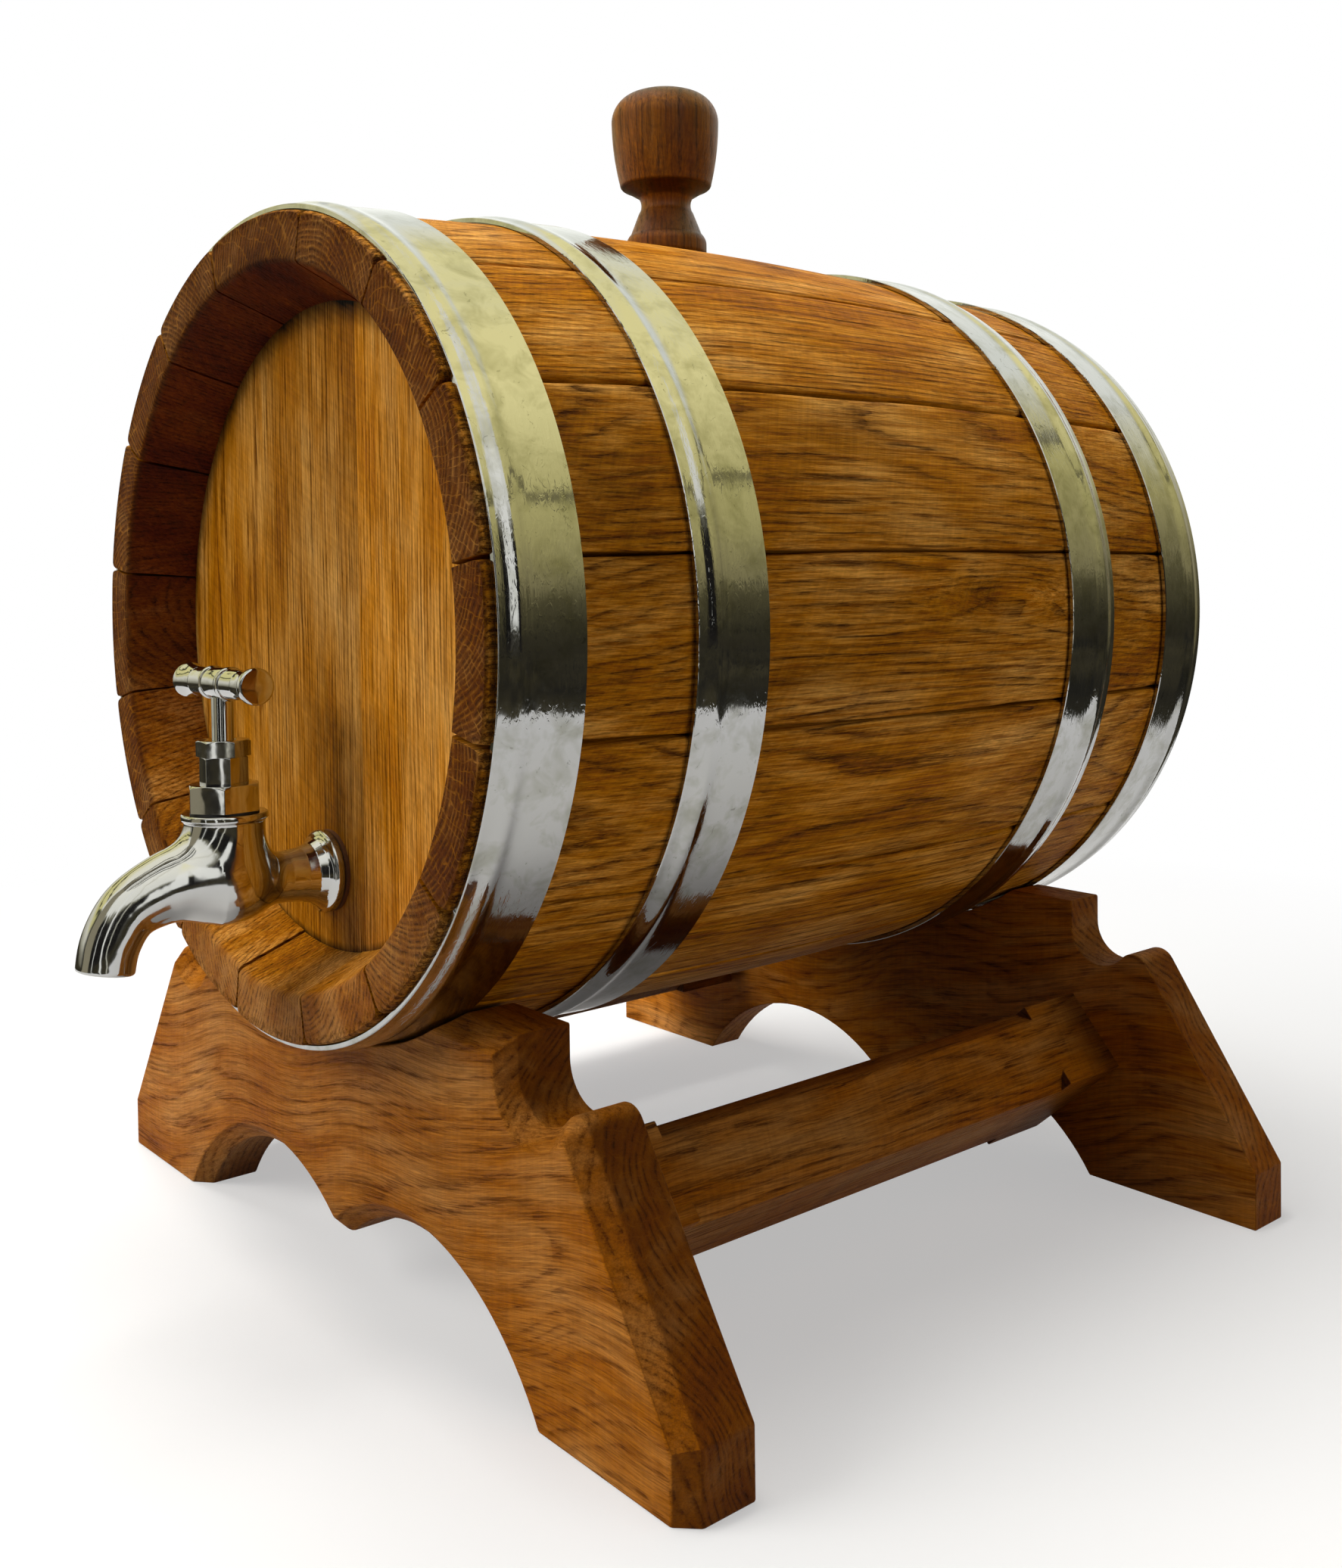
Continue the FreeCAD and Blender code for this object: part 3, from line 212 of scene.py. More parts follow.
def object_place(tree):
    """Object coordinates in millimetres, as three fields."""
    return split(put(tree, "ShaderNodeVectorMath", {0: solid_place(tree), 3: 1 / MM}, operation="SCALE"))


def apart(first, second):
    """Length of the line whose legs are two fields."""
    return maths("SQRT", first ** 2.0 + second ** 2.0)


def ramp(value, low, high, out_low=0.0, out_high=1.0):
    """A value from low to high becomes one from out_low to out_high, and no further."""
    return put(value.tree, "ShaderNodeMapRange", {
        "Value": value, "From Min": low, "From Max": high, "To Min": out_low, "To Max": out_high})


def blend(amount, first, second):
    return put(tree_of(amount, first, second), "ShaderNodeMix", {0: amount, 6: first, 7: second}, 2,
               data_type="RGBA", clamp_factor=True)


def finish(name, recipe, *values, **named):
    """A material whose surface is the shader that a recipe makes in its tree."""
    material = bpy.data.materials.new(name)
    material.use_nodes = True
    material.node_tree.nodes.clear()
    shader = recipe(material.node_tree, *values, **named)
    put(material.node_tree, "ShaderNodeOutputMaterial", {"Surface": shader})
    print(name, "finish:", len(material.node_tree.nodes), "nodes")
    return material


# %% Floor
FLOOR_RADIUS, FADE_START, FADE_END = 3.0, 260.0, 620.0
GLOW_SHARE, SHADE_START, SHADE_END = 0.45, 170.0, 50.0


def floor_paint(tree):
    x, y, _ = object_place(tree)
    distance = apart(x, y)
    camera_ray, glossy_ray, shown = rays_of(tree)
    shade = blend(camera_ray, (0.36, 0.35, 0.34, 1.0), (0.86, 0.86, 0.86, 1.0))
    shade = blend(glossy_ray, shade, (0.75, 0.75, 0.74, 1.0))
    paint = put(tree, "ShaderNodeBsdfDiffuse", {"Color": shade})
    glow = put(tree, "ShaderNodeEmission", {"Color": WHITE, "Strength": shown})
    # Glossy rays see the floor glow, dimmed towards the cask as a painted shadow.
    shadowed_glow = put(tree, "ShaderNodeEmission", {"Color": (0.775, 0.775, 0.763, 1.0),
                                            "Strength": ramp(distance, SHADE_END, SHADE_START, 0.3, 1.0)})
    paint = mix_shaders(glossy_ray * GLOW_SHARE, paint, shadowed_glow)
    paint = mix_shaders(camera_ray * GLOW_SHARE, paint, glow)
    return mix_shaders(ramp(distance, FADE_START, FADE_END), paint, glow)


def ring_of(count, radius, z):
    return [(radius * math.cos(2 * math.pi * i / count), radius * math.sin(2 * math.pi * i / count), z)
            for i in range(count)]


def new_mesh(name, points, faces, material):
    mesh = bpy.data.meshes.new(name)
    mesh.from_pydata(points, [], faces)
    mesh.materials.append(material)
    return mesh


floor = stand("floor", new_mesh("floor", ring_of(96, FLOOR_RADIUS, 0.0), [list(range(96))],
                                finish("pale_floor", floor_paint)))


# %% Lamps
def lamp(name, place, width, height, watts, warmth):
    """A soft lamp that points at the cask and doesn't show in the metal."""
    data = bpy.data.lights.new(name, "AREA")
    data.shape = "RECTANGLE"
    data.size, data.size_y, data.energy, data.color = width, height, watts, warmth
    item = stand(name, data)
    item.location = place
    item.rotation_euler = (CASK * MM - Vector(place)).to_track_quat("-Z", "Y").to_euler()
    item.visible_glossy = False
    print(name, watts, "W")


lamp("top_lamp", (-0.3, -0.1, 1.5), 0.8, 0.8, 24.5, (1.0, 0.98, 0.94))
lamp("front_lamp", (-0.6, -1.35, 1.05), 1.1, 1.0, 20.5, (1.0, 0.98, 0.94))
lamp("side_lamp", (1.45, 0.70, 0.18), 0.8, 0.5, 7.5, (1.0, 0.95, 0.84))

# %% [markdown]
# ## Studio cards
# Each card is a piece of a tall drum round the cask that glows with a colour set by its height. A
# real room would do the same, with its dark furniture at eye level, a warm wall on one side, a bright
# grey one at the back and a pale ceiling above. A dark ring on the floor is where the table ends.

# %% Studio cards
CARD_GLOW = 1.56
DRUM_SIDES, DRUM_RADIUS, DRUM_LOW, DRUM_HIGH, TABLE_RADIUS = 64, 1.6, 0.002, 2.4, 0.50
# Each wall is a list of heights, mm, with the colour there.
WARM_WALL = ((0, (45, 42, 33)), (110, (52, 49, 36)), (330, (84, 79, 54)), (430, (126, 119, 84)),
             (700, (162, 154, 102)), (1030, (184, 176, 116)), (1060, (112, 107, 76)),
             (1120, (112, 107, 76)), (1150, (188, 180, 120)), (1800, (226, 217, 153)),
             (2400, (242, 232, 166)))
GREY_WALL = ((0, (70, 66, 48)), (115, (116, 108, 76)), (420, (150, 144, 118)), (700, (186, 184, 170)),
             (850, (222, 224, 218)), (1500, (214, 217, 208)), (2000, (222, 219, 190)),
             (2400, (236, 228, 168)))
LEFT_WALL = ((0, (96, 92, 78)), (160, (160, 158, 142)), (420, (206, 204, 190)), (640, (196, 190, 132)),
             (760, (196, 190, 132)), (790, (44, 42, 36)), (860, (44, 42, 36)), (890, (206, 200, 140)),
             (1240, (212, 204, 142)), (1270, (58, 55, 46)), (1400, (58, 55, 46)), (1430, (216, 210, 160)),
             (2400, (232, 230, 214)))
NEAR_WALL = ((0, (38, 36, 32)), (120, (24, 23, 22)), (760, (30, 29, 27)), (900, (110, 108, 92)),
             (1050, (222, 222, 214)), (2400, (234, 233, 222)))
WINDOW = ((0, (50, 48, 42)), (180, (70, 68, 60)), (300, (226, 227, 222)), (1300, (236, 236, 230)),
          (2400, (236, 232, 200)))
# Upright things near the camera: from and to bearing, colour.
NEAR_STRIPS = ((-116.0, -88.0, (132, 126, 106)), (-77.0, -74.5, (232, 232, 226)),
               (-52.0, -46.5, (228, 228, 222)), (-33.0, -30.0, (196, 194, 180)))
# Dark beams across the ceiling: middle and half width, mm, along x.
BEAMS = ((-560.0, 70.0), (-250.0, 45.0), (-40.0, 90.0), (260.0, 40.0), (470.0, 80.0), (760.0, 60.0))
# Bowed chair backs: bearing, height, half width in degrees, half height, mm.
CHAIRS = ((29.0, 330.0, 3.6, 170.0), (34.5, 250.0, 3.0, 150.0), (62.0, 240.0, 3.2, 120.0))


# %% Glow of the cards
def colour(red, green, blue):
    """A display colour, 0 to 255, as the linear colour that a socket takes."""
    parts = [part / 255 for part in (red, green, blue)]
    linear = [part / 12.92 if part <= 0.04045 else ((part + 0.055) / 1.055) ** 2.4 for part in parts]
    return (*linear, 1.0)


def triple(x, y, z):
    return put(tree_of(x, y, z), "ShaderNodeCombineXYZ", {0: x, 1: y, 2: z})


def noise(vector, detail=2.0, roughness=0.5, distortion=0.0, scale=1.0):
    """Cloudy noise from 0 to 1."""
    return put(vector.tree, "ShaderNodeTexNoise", {"Vector": vector, "Scale": scale, "Detail": detail,
                                                   "Roughness": roughness, "Distortion": distortion})


def between(value, low, high, soft):
    """1 from low to high, with a soft edge, and 0 outside."""
    return ramp(value, low, low + soft) * ramp(value, high - soft, high, 1.0, 0.0)


def by_height(height, stops):
    """A colour read off a list of heights."""
    shade = colour(*stops[0][1])
    for (low, _), (high, tone) in zip(stops, stops[1:]):
        shade = blend(ramp(height, low, high), shade, colour(*tone))
    return shade


def upright_strips(bearing, shade):
    for low, high, tone in NEAR_STRIPS:
        shade = blend(between(bearing, low, high, 0.8), shade, colour(*tone))
    return shade


def card_glow(shade):
    return put(shade.tree, "ShaderNodeEmission", {"Color": shade, "Strength": CARD_GLOW})


# %% Room
def room(tree):
    """A glow set by height and bearing, a little broken by things that stand about the room."""
    x, y, z = object_place(tree)
    bearing = maths("DEGREES", maths("ARCTAN2", y, x))
    things = ramp(noise(triple(bearing / 9.0, z / 500.0, 0.0)), 0.35, 0.65, -70.0, 70.0)
    height = z + things * ramp(z, 90.0, 200.0)
    left, near, window, warm, grey = (by_height(height, wall) for wall in (
        LEFT_WALL, NEAR_WALL, WINDOW, WARM_WALL, GREY_WALL))
    near = upright_strips(bearing, near)
    shade = left
    for low, high, wall in ((-128.0, -118.0, near), (-14.0, -12.5, window), (-4.5, -3.0, near),
                            (8.0, 15.0, warm), (72.0, 92.0, grey), (155.0, 170.0, left)):
        shade = blend(ramp(bearing, low, high), shade, wall)
    for place, up, wide, high in CHAIRS:
        rail = between(apart((bearing - place) / wide, (z - up) / high), 0.86, 1.04, 0.04)
        shade = blend(rail * 0.8, shade, colour(26, 26, 22))
    lid = ramp(z, 2390.0, 2395.0) * ramp(y, -240.0, -260.0)
    for middle, half in BEAMS:
        beam = between(x, middle - half, middle + half, 16.0)
        shade = blend(beam * lid, shade, colour(40, 38, 32))
    return card_glow(shade)


def table_edge(tree):
    cloud = ramp(noise(solid_place(tree), scale=3.0), 0.35, 0.65)
    shade = blend(cloud, colour(34, 33, 29), colour(58, 54, 40))
    x, y, _ = object_place(tree)
    return card_glow(upright_strips(maths("DEGREES", maths("ARCTAN2", y, x)), shade))


# %% Cards
def studio_card(name, points, faces, material):
    """A card that only glossy rays see."""
    card = stand(name, new_mesh(name, points, faces, material))
    for kind in ("camera", "diffuse", "transmission", "volume_scatter", "shadow"):
        setattr(card, "visible_" + kind, False)


drum_foot = ring_of(DRUM_SIDES, DRUM_RADIUS, DRUM_LOW)
drum_walls = [(i, (i + 1) % DRUM_SIDES, DRUM_SIDES + (i + 1) % DRUM_SIDES, DRUM_SIDES + i)
              for i in range(DRUM_SIDES)]
drum_lid = [list(range(DRUM_SIDES, 2 * DRUM_SIDES))]
studio_card("room_drum", drum_foot + ring_of(DRUM_SIDES, DRUM_RADIUS, DRUM_HIGH), drum_walls + drum_lid,
            finish("room_card", room))
studio_card("table_edge", ring_of(DRUM_SIDES, TABLE_RADIUS, DRUM_LOW) + drum_foot, drum_walls,
            finish("table_edge_card", table_edge))
print("cards: two, of", DRUM_SIDES, "sides")

# %% [markdown]
# ## Oak
# Oak shows four things at once: growth rings with an open, dark-pored band each spring, long fine
# pores, fibres, and rays that cut across the rings as short flecks on a flat face and as pale lines
# on end grain. A picture of a board could be wrapped round each piece, but it would not join up round
# the corners. Here the wood is solid: a group works out the figure at every point from three lengths,
# across, along and away from the heart of the tree, and each piece only has to say where in the tree
# its board was cut.

# %% Oak figure
RING_PROFILE = ((0.0, 1.0), (0.10, 0.85), (0.32, 0.30), (0.68, 0.05), (0.93, 0.35), (1.0, 1.0))
FIGURE_PARTS = ("Rings", "Pores", "Fibre", "Rays", "Cloud", "Net", "Hairs", "Saw")


def length(vector):
    return put(vector.tree, "ShaderNodeVectorMath", {0: vector}, "Value", operation="LENGTH")


def thin_line(value, half_width):
    """1 where a value crosses a half, 0 away from it."""
    return ramp(abs(value - 0.5), 0.0, half_width, 1.0, 0.0)


def oak_figure_group():
    tree = bpy.data.node_groups.new("oak_figure", "ShaderNodeTree")
    for direction, names in (("INPUT", ("Across", "Along", "Depth", "Ring width", "Wander")),
                             ("OUTPUT", FIGURE_PARTS)):
        for name in names:
            tree.interface.new_socket(name, in_out=direction, socket_type="NodeSocketFloat")
    given = put(tree, "NodeGroupInput")
    across, along, depth, width, wander = (given.out(i) for i in range(5))

    def grain(across_scale, along_scale, detail=2.0, roughness=0.5):
        """Noise drawn out along the grain."""
        return noise(triple(across * across_scale, along * along_scale, depth * across_scale),
                     detail, roughness)

    drift = (grain(1 / 60, 1 / 150) - 0.5) * wander
    ripple = (grain(1 / 6, 1 / 55) - 0.5) * 1.8
    heart = length(triple(across + drift, 0.0, depth + drift))
    radius = heart + ripple
    season = maths("FRACT", radius / width + noise(triple(radius / 7.0, 0.0, 0.0), 1.0) * 3.0)
    curve = put(tree, "ShaderNodeFloatCurve", {"Value": season})
    points = curve.node.mapping.curves[0].points
    points[0].location, points[1].location = RING_PROFILE[0], RING_PROFILE[-1]
    for spot in RING_PROFILE[1:-1]:
        points.new(*spot)
    curve.node.mapping.update()
    rings = curve * ramp(grain(1 / 2.2, 1 / 36, 3.0, 0.65), 0.42, 0.58, 0.2, 1.0)

    spring = rings * 0.65 + 0.35
    streak = ramp(grain(1.6, 0.030, 4.0, 0.72), 0.53, 0.59)
    fine = ramp(grain(3.4, 0.16, 2.0, 0.6), 0.54, 0.60, 0.0, 0.9)
    pores = most(streak * spring, fine * spring)
    fibre = ramp(grain(1.4, 0.030, 4.0, 0.72), 0.38, 0.62)
    hairs = ramp(grain(2.4, 0.11, 3.0, 0.65), 0.56, 0.63)
    bearing = maths("ARCTAN2", across, depth) * 55.0
    rays = ramp(noise(triple(bearing * 1.5, along * 0.14, heart * 0.02), 1.0), 0.62, 0.70)
    sway = noise(triple(bearing * 0.22, 0.0, heart * 0.12))
    spokes = maths("FRACT", bearing * 0.36 + sway * 2.6)
    worn = ramp(noise(triple(bearing * 0.5, 3.0, heart * 0.35)), 0.38, 0.62, 0.15, 1.0)
    net = worn * most(thin_line(spokes, 0.09), thin_line(season, 0.22) * 0.8)
    cloud = grain(1 / 16, 1 / 60, 3.0, 0.6)
    saw = noise(triple(across * 0.06, (along + across * 0.5) * 0.8, depth * 0.06), 2.0, 0.6)
    put(tree, "NodeGroupOutput", dict(enumerate((rings, pores, fibre, rays, cloud, net, hairs, saw))))
    return tree


OAK_FIGURE = oak_figure_group()
print("oak figure:", len(OAK_FIGURE.nodes), "nodes")


# %% Read the figure
def read_figure(across, along, depth, ring_width, wander):
    """The parts of the figure at a place in the tree, by name."""
    places = dict(enumerate((across, along, depth, ring_width, wander)))
    figure = put(across.tree, "ShaderNodeGroup", places, node_tree=OAK_FIGURE)
    return {name: figure.out(name) for name in FIGURE_PARTS}


# %% [markdown]
# ## Oiled oak
# Oil darkens the open grain more than the dense summer wood, so the colour is built up in layers:
# pale fibre, deeper rings, dark pores, then the flecks of the rays and a few raised pale hairs. End
# grain drinks most and goes dark brown, with the rays and rings left on it as a pale net. The same
# layers give a shallow relief, in real depths: a pore is about a tenth of a millimetre deep. Each
# board gets its own tone, as boards from several trees are mixed in one cask.

# %% Oiled oak
END_PORE = colour(31, 12, 2)


def skin(shade, rough, height, metallic=0.0, sheen=0.5, strength=1.0, depth=MM):
    """A surface with a shallow relief; a height of 1 stands one depth above the mesh."""
    bump = put(height.tree, "ShaderNodeBump", {"Strength": strength, "Distance": depth, "Height": height})
    return put(height.tree, "ShaderNodeBsdfPrincipled", {
        "Base Color": shade, "Metallic": metallic, "Roughness": rough, "Normal": bump,
        "Specular IOR Level": sheen})


def oak_surface(figure, tones, tone, end_grain, relief=0.10, gloss=0.55, clouds=0.30, figured=1.0,
                net=0.45, sheen=0.09):
    """The layers of oiled oak; tones are pale, mid, deep, pore, ray and end-grain colours."""
    pale, mid, deep, pore, ray, end = tones
    rings, pores, fibre, rays, cloud, lines, hairs, saw = (figure[name] for name in FIGURE_PARTS)
    wood = blend(fibre, pale, mid)
    for layer, strength, tint in ((rings, 0.85 * figured, deep), (rays, 0.35, ray),
                                  (pores, 0.90 * figured, pore), (hairs, 0.35 * figured, pale)):
        wood = blend(layer * strength, wood, tint)
    end_wood = blend(most(rings * 0.75, pores * 0.60), end, END_PORE)
    wood = blend(end_grain, wood, blend(lines * net, end_wood, pale))
    value = ramp(cloud, 0.32, 0.68, -clouds, clouds) + tone + ramp(saw, 0.3, 0.7, -0.09, 0.09)
    shade = put(rings.tree, "ShaderNodeHueSaturation", {
        "Value": value, "Color": wood, "Hue": ramp(cloud, 0.34, 0.66, 0.490, 0.505),
        "Saturation": ramp(cloud, 0.40, 0.70, 1.11, 0.99), "Fac": 1.0})
    height = (pores * -relief + rings * (-0.35 * relief) + fibre * (0.35 * relief)
              + saw * (0.25 * relief))
    return skin(shade, ramp(pores, 0.0, 1.0, gloss, gloss + 0.25), height, sheen=sheen)


def facing(tree, axis, low, high):
    """1 where the surface faces along an axis of the object, 0 where it runs along it."""
    return ramp(abs(split(put(tree, "ShaderNodeTexCoord", take="Normal"))[axis]), low, high)


def dice(value, seed):
    """Three random numbers that belong to one board."""
    item = put(value.tree, "ShaderNodeTexWhiteNoise", {"W": value + seed}, "Color", noise_dimensions="1D")
    parts = put(value.tree, "ShaderNodeSeparateColor", {0: item})
    return [parts.out(i) for i in range(3)]


# %% [markdown]
# ## Staves
# A stave is a plank with bowed sides that fills its share of the circle. All sixteen follow one rule,
# so a Geometry Nodes tree makes them: it takes one flat blank, sets a copy for each stave, bends every
# copy round the cask to its own angle and lets each one stand in or out by a hair. An array round a
# centre could do that too, but the bung stave is wider than the rest, and here its angle is one input.

# %% Stave sizes
HALF_LENGTH, BILGE_RADIUS, BILGE_RISE = 130.0, 108.6, 5.6
STAVE_THICKNESS, INNER_RISE = 16.1, 7.5
CHIME_WIDTH, CHIME_DEPTH = 12.0, 18.0
CROZE_STEP, CROZE_LAND, CROZE_WIDTH, CROZE_DEPTH = 1.6, 4.0, 7.0, 4.4
SEAM_ROUND, END_WEAR, END_WEAR_START, END_ROUND_START = 0.9, 1.5, 125.0, 129.0
NOTCH, NOTCH_WIDTH, NOTCH_PLACES = 1.1, 1.6, (56.8, 106.6)
END_RADIUS = BILGE_RADIUS - BILGE_RISE
INNER_BILGE = BILGE_RADIUS - STAVE_THICKNESS
LAND_RADIUS = INNER_BILGE - INNER_RISE - CROZE_STEP
HEAD_FACE = HALF_LENGTH - CHIME_DEPTH
CROZE_OUT = HEAD_FACE - CROZE_LAND
CROZE_IN = CROZE_OUT - CROZE_WIDTH
HAIR = 0.01
print("cask, mm:", 2 * HALF_LENGTH, "long and", 2 * BILGE_RADIUS, "across")


# %% Stave curves
def arc_radius(half_chord, rise):
    return (half_chord ** 2 + rise ** 2) / (2 * rise)


def bow(middle, rise, half, along):
    """Height of an arc that falls by its rise at half a length."""
    radius = arc_radius(half, rise)
    return middle - radius + math.sqrt(radius ** 2 - along ** 2)


def shell_radius(along):
    """Outer radius of the cask at a distance from its middle."""
    return bow(BILGE_RADIUS, BILGE_RISE, HALF_LENGTH, along)


def hollow_radius(along):
    """Inner radius: bowed inside, with the croze that holds the head and the sloping chime."""
    place = abs(along)
    if place > HEAD_FACE:
        return LAND_RADIUS + (END_RADIUS - CHIME_WIDTH - LAND_RADIUS) * (place - HEAD_FACE) / CHIME_DEPTH
    if place > CROZE_OUT:
        return LAND_RADIUS
    if place > CROZE_IN:
        return LAND_RADIUS + CROZE_DEPTH
    return bow(INNER_BILGE, INNER_RISE, CROZE_IN, along)


# %% Stave blank
# Where the blank has its rows and its columns, from its middle to one side.
ROWS = (0.0, 12, 24, 36, 48, 54, 56, 58, 60, 72, 79, 81, 84, 94, CROZE_IN - HAIR, CROZE_IN + HAIR,
        CROZE_OUT - HAIR, CROZE_OUT + HAIR, HEAD_FACE, 115, 120, 125, 127, 128.5, 129.2, 129.7, HALF_LENGTH)
COLUMNS = (0.0, 0.14, 0.28, 0.42, 0.56, 0.69, 0.80, 0.88, 0.935, 0.965, 0.982, 0.992, 1.0)
LAYERS = (0.0, 0.35, 0.7, 1.0)


def both_sides(half):
    return [-place for place in reversed(half[1:])] + list(half)


def stave_blank():
    """A flat plank: x runs from -1 to 1 across, y along the cask and z is the radius, both in mm."""
    across, rows = both_sides(COLUMNS), both_sides(ROWS)
    ends = (len(across) - 1, len(rows) - 1, len(LAYERS) - 1)
    grid = {}
    blank = bmesh.new()
    for i, u in enumerate(across):
        for j, y in enumerate(rows):
            worn = max(0.0, abs(y) - END_ROUND_START) ** 2
            near_hoop = max(math.exp(-((abs(y) - place) / NOTCH_WIDTH) ** 2) for place in NOTCH_PLACES)
            near_end = min(1.0, max(0.0, abs(y) - END_WEAR_START) / (HALF_LENGTH - END_WEAR_START))
            drop = SEAM_ROUND * abs(u) ** 80 + NOTCH * near_hoop * abs(u) ** 70
            drop += END_WEAR * near_end * abs(u) ** 34
            low, high = hollow_radius(y) + 0.7 * worn, shell_radius(y) - drop - 0.5 * worn
            for k, share in enumerate(LAYERS):
                if any(n in (0, last) for n, last in zip((i, j, k), ends)):
                    grid[i, j, k] = blank.verts.new((u, y, low + (high - low) * share))
    for spot in list(grid):
        for plane in range(3):
            cell = []
            for a, b in ((0, 0), (1, 0), (1, 1), (0, 1)):
                corner = list(spot)
                corner[(plane + 1) % 3] += a
                corner[(plane + 2) % 3] += b
                cell.append(grid.get(tuple(corner)))
            if None not in cell and spot[plane] in (0, ends[plane]):
                blank.faces.new(cell)
    bmesh.ops.recalc_face_normals(blank, faces=blank.faces)
    mesh = bpy.data.meshes.new("stave_blank")
    blank.to_mesh(mesh)
    blank.free()
    return mesh


STAVE_BLANK = stave_blank()
print("stave blank:", len(STAVE_BLANK.polygons), "faces")


# %% Makers
def new_maker(name, inputs):
    """A Geometry Nodes tree with named inputs; returns it and a field for each input."""
    tree = bpy.data.node_groups.new(name, "GeometryNodeTree")
    tree.interface.new_socket("Geometry", in_out="OUTPUT", socket_type="NodeSocketGeometry")
    for label, kind in inputs.items():
        tree.interface.new_socket(label, in_out="INPUT", socket_type="NodeSocket" + kind)
    given = put(tree, "NodeGroupInput")
    return tree, [given.out(label) for label in inputs]


def join(*parts):
    whole = put(parts[0].tree, "GeometryNodeJoinGeometry")
    for part in parts:
        whole.tree.links.new(part.socket, whole.node.inputs[0])
    return whole


def make_by_nodes(name, tree, blank, values):
    """Runs a tree on a blank with its inputs set by identifier, and returns a plain mesh object."""
    maker = stand(name + "_maker", blank)
    modifier = maker.modifiers.new("maker", "NODES")
    modifier.node_group = tree
    for item in tree.interface.items_tree:
        if item.in_out == "INPUT" and item.name in values:
            modifier[item.identifier] = values[item.name]
    graph = bpy.context.evaluated_depsgraph_get()
    mesh = bpy.data.meshes.new_from_object(maker.evaluated_get(graph), depsgraph=graph)
    maker.modifiers.clear()
    bpy.data.objects.remove(maker)
    mesh.name = name
    print(name, len(mesh.polygons), "faces")
    return stand(name, mesh)


# %% Stave tree
BUNG_STAVE_ANGLE, STAVE_COUNT, BUNG_SETBACK = 29.0, 16, 4.3
# The tapered auger that bores the bung hole: radius at its top and tip, length, depth of its middle.
AUGER_TOP, AUGER_TIP, AUGER_LENGTH, AUGER_DEPTH = 11.0, 8.0, 63.0, 42.0


def stave_maker():
    tree, (blank, staves, bung_angle, seam_gap, uneven, seed, middle, oak) = new_maker("stave_maker", {
        "Blank": "Geometry", "Staves": "Int", "Bung stave angle": "Float", "Seam gap": "Float",
        "Uneven": "Float", "Seed": "Int", "Middle": "Vector", "Oak": "Material"})
    line = put(tree, "GeometryNodeMeshLine", {"Count": staves, "Offset": (0, 0, 0)})
    numbered = put(tree, "GeometryNodeStoreNamedAttribute",
                   {"Geometry": line, "Name": "stave", "Value": put(tree, "GeometryNodeInputIndex")},
                   data_type="INT", domain="POINT")
    copies = put(tree, "GeometryNodeInstanceOnPoints", {"Points": numbered, "Instance": blank})
    planks = put(tree, "GeometryNodeRealizeInstances", {0: copies})
    index = put(tree, "GeometryNodeInputNamedAttribute", {"Name": "stave"}, data_type="INT")
    step = (360.0 - bung_angle) / (staves - 1.0)
    first = maths("COMPARE", index, 0.0, 0.1)
    others = 1.0 - first
    wide_half = bung_angle / 2.0
    centre = (wide_half + (index - 0.5) * step) * others
    half = first * wide_half + others * (step / 2.0)
    across, along, reach = split(put(tree, "GeometryNodeInputPosition"))
    wave = noise(triple(index * 7.3, along / 32.0, 0.0), 1.0)
    gap = seam_gap * ramp(wave, 0.35, 0.65, 0.3, 1.8)
    angle = maths("RADIANS", centre + across * (half - gap / reach))
    lot = put(tree, "FunctionNodeRandomValue", {"ID": index, "Seed": seed}, 1, data_type="FLOAT")
    radius = (reach - lot * uneven) * MM
    bent = triple(radius * maths("SINE", angle), along * MM, radius * maths("COSINE", angle))
    moved = put(tree, "ShaderNodeVectorMath", {0: bent, 1: middle}, operation="ADD")
    shell = put(tree, "GeometryNodeSetPosition", {"Geometry": planks, "Position": moved})
    parted = put(tree, "GeometryNodeSeparateGeometry", {"Geometry": shell, "Selection": first},
                 domain="POINT")
    auger = put(tree, "GeometryNodeMeshCone", {
        "Vertices": 64, "Radius Top": AUGER_TOP * MM, "Radius Bottom": AUGER_TIP * MM,
        "Depth": AUGER_LENGTH * MM})
    auger = put(tree, "GeometryNodeTransform", {"Geometry": auger, "Translation": (
        0.0, (CASK.y + BUNG_SETBACK) * MM, (CASK.z + BILGE_RADIUS - AUGER_DEPTH) * MM)})
    bored = put(tree, "GeometryNodeMeshBoolean", {0: parted, 1: auger}, operation="DIFFERENCE")
    oiled = put(tree, "GeometryNodeSetMaterial", {"Geometry": join(bored, parted.out(1)), "Material": oak})
    put(tree, "NodeGroupOutput", {0: oiled})
    return tree


# %% Stave oak
STAVE_STEP = (360.0 - BUNG_STAVE_ANGLE) / (STAVE_COUNT - 1)
KNOT = (34.0, 87.2)  # place along the cask, mm, and angle round it of the one knot in sight
# Darker and paler places on the staves, partly their own uneven tone and partly painted shade and painted
# light, with a painted sheen on the upper staves: place along, mm, angle, half sizes, change.
SHADE_SHEEN_AND_TONE_PATCHES = ((-24.0, 64.0, 26.0, 4.5, -0.26), (-99.0, 72.0, 20.0, 9.0, -0.24),
           (27.0, 34.0, 30.0, 8.0, 0.10), (-10.0, 82.4, 34.0, 2.6, 0.22), (-46.0, 97.0, 30.0, 4.0, -0.20),
           (38.0, 87.2, 16.0, 1.6, 0.30), (20.0, 86.2, 9.0, 1.4, -0.28), (-7.0, 110.0, 60.0, 6.0, 0.14),
           (36.0, 121.0, 26.0, 4.0, -0.12), (27.0, 68.0, 30.0, 5.0, 0.06), (84.0, 84.0, 16.0, 9.0, -0.10),
           (-99.0, 120.0, 20.0, 14.0, 0.10), (0.0, 132.0, 70.0, 8.0, 0.16))


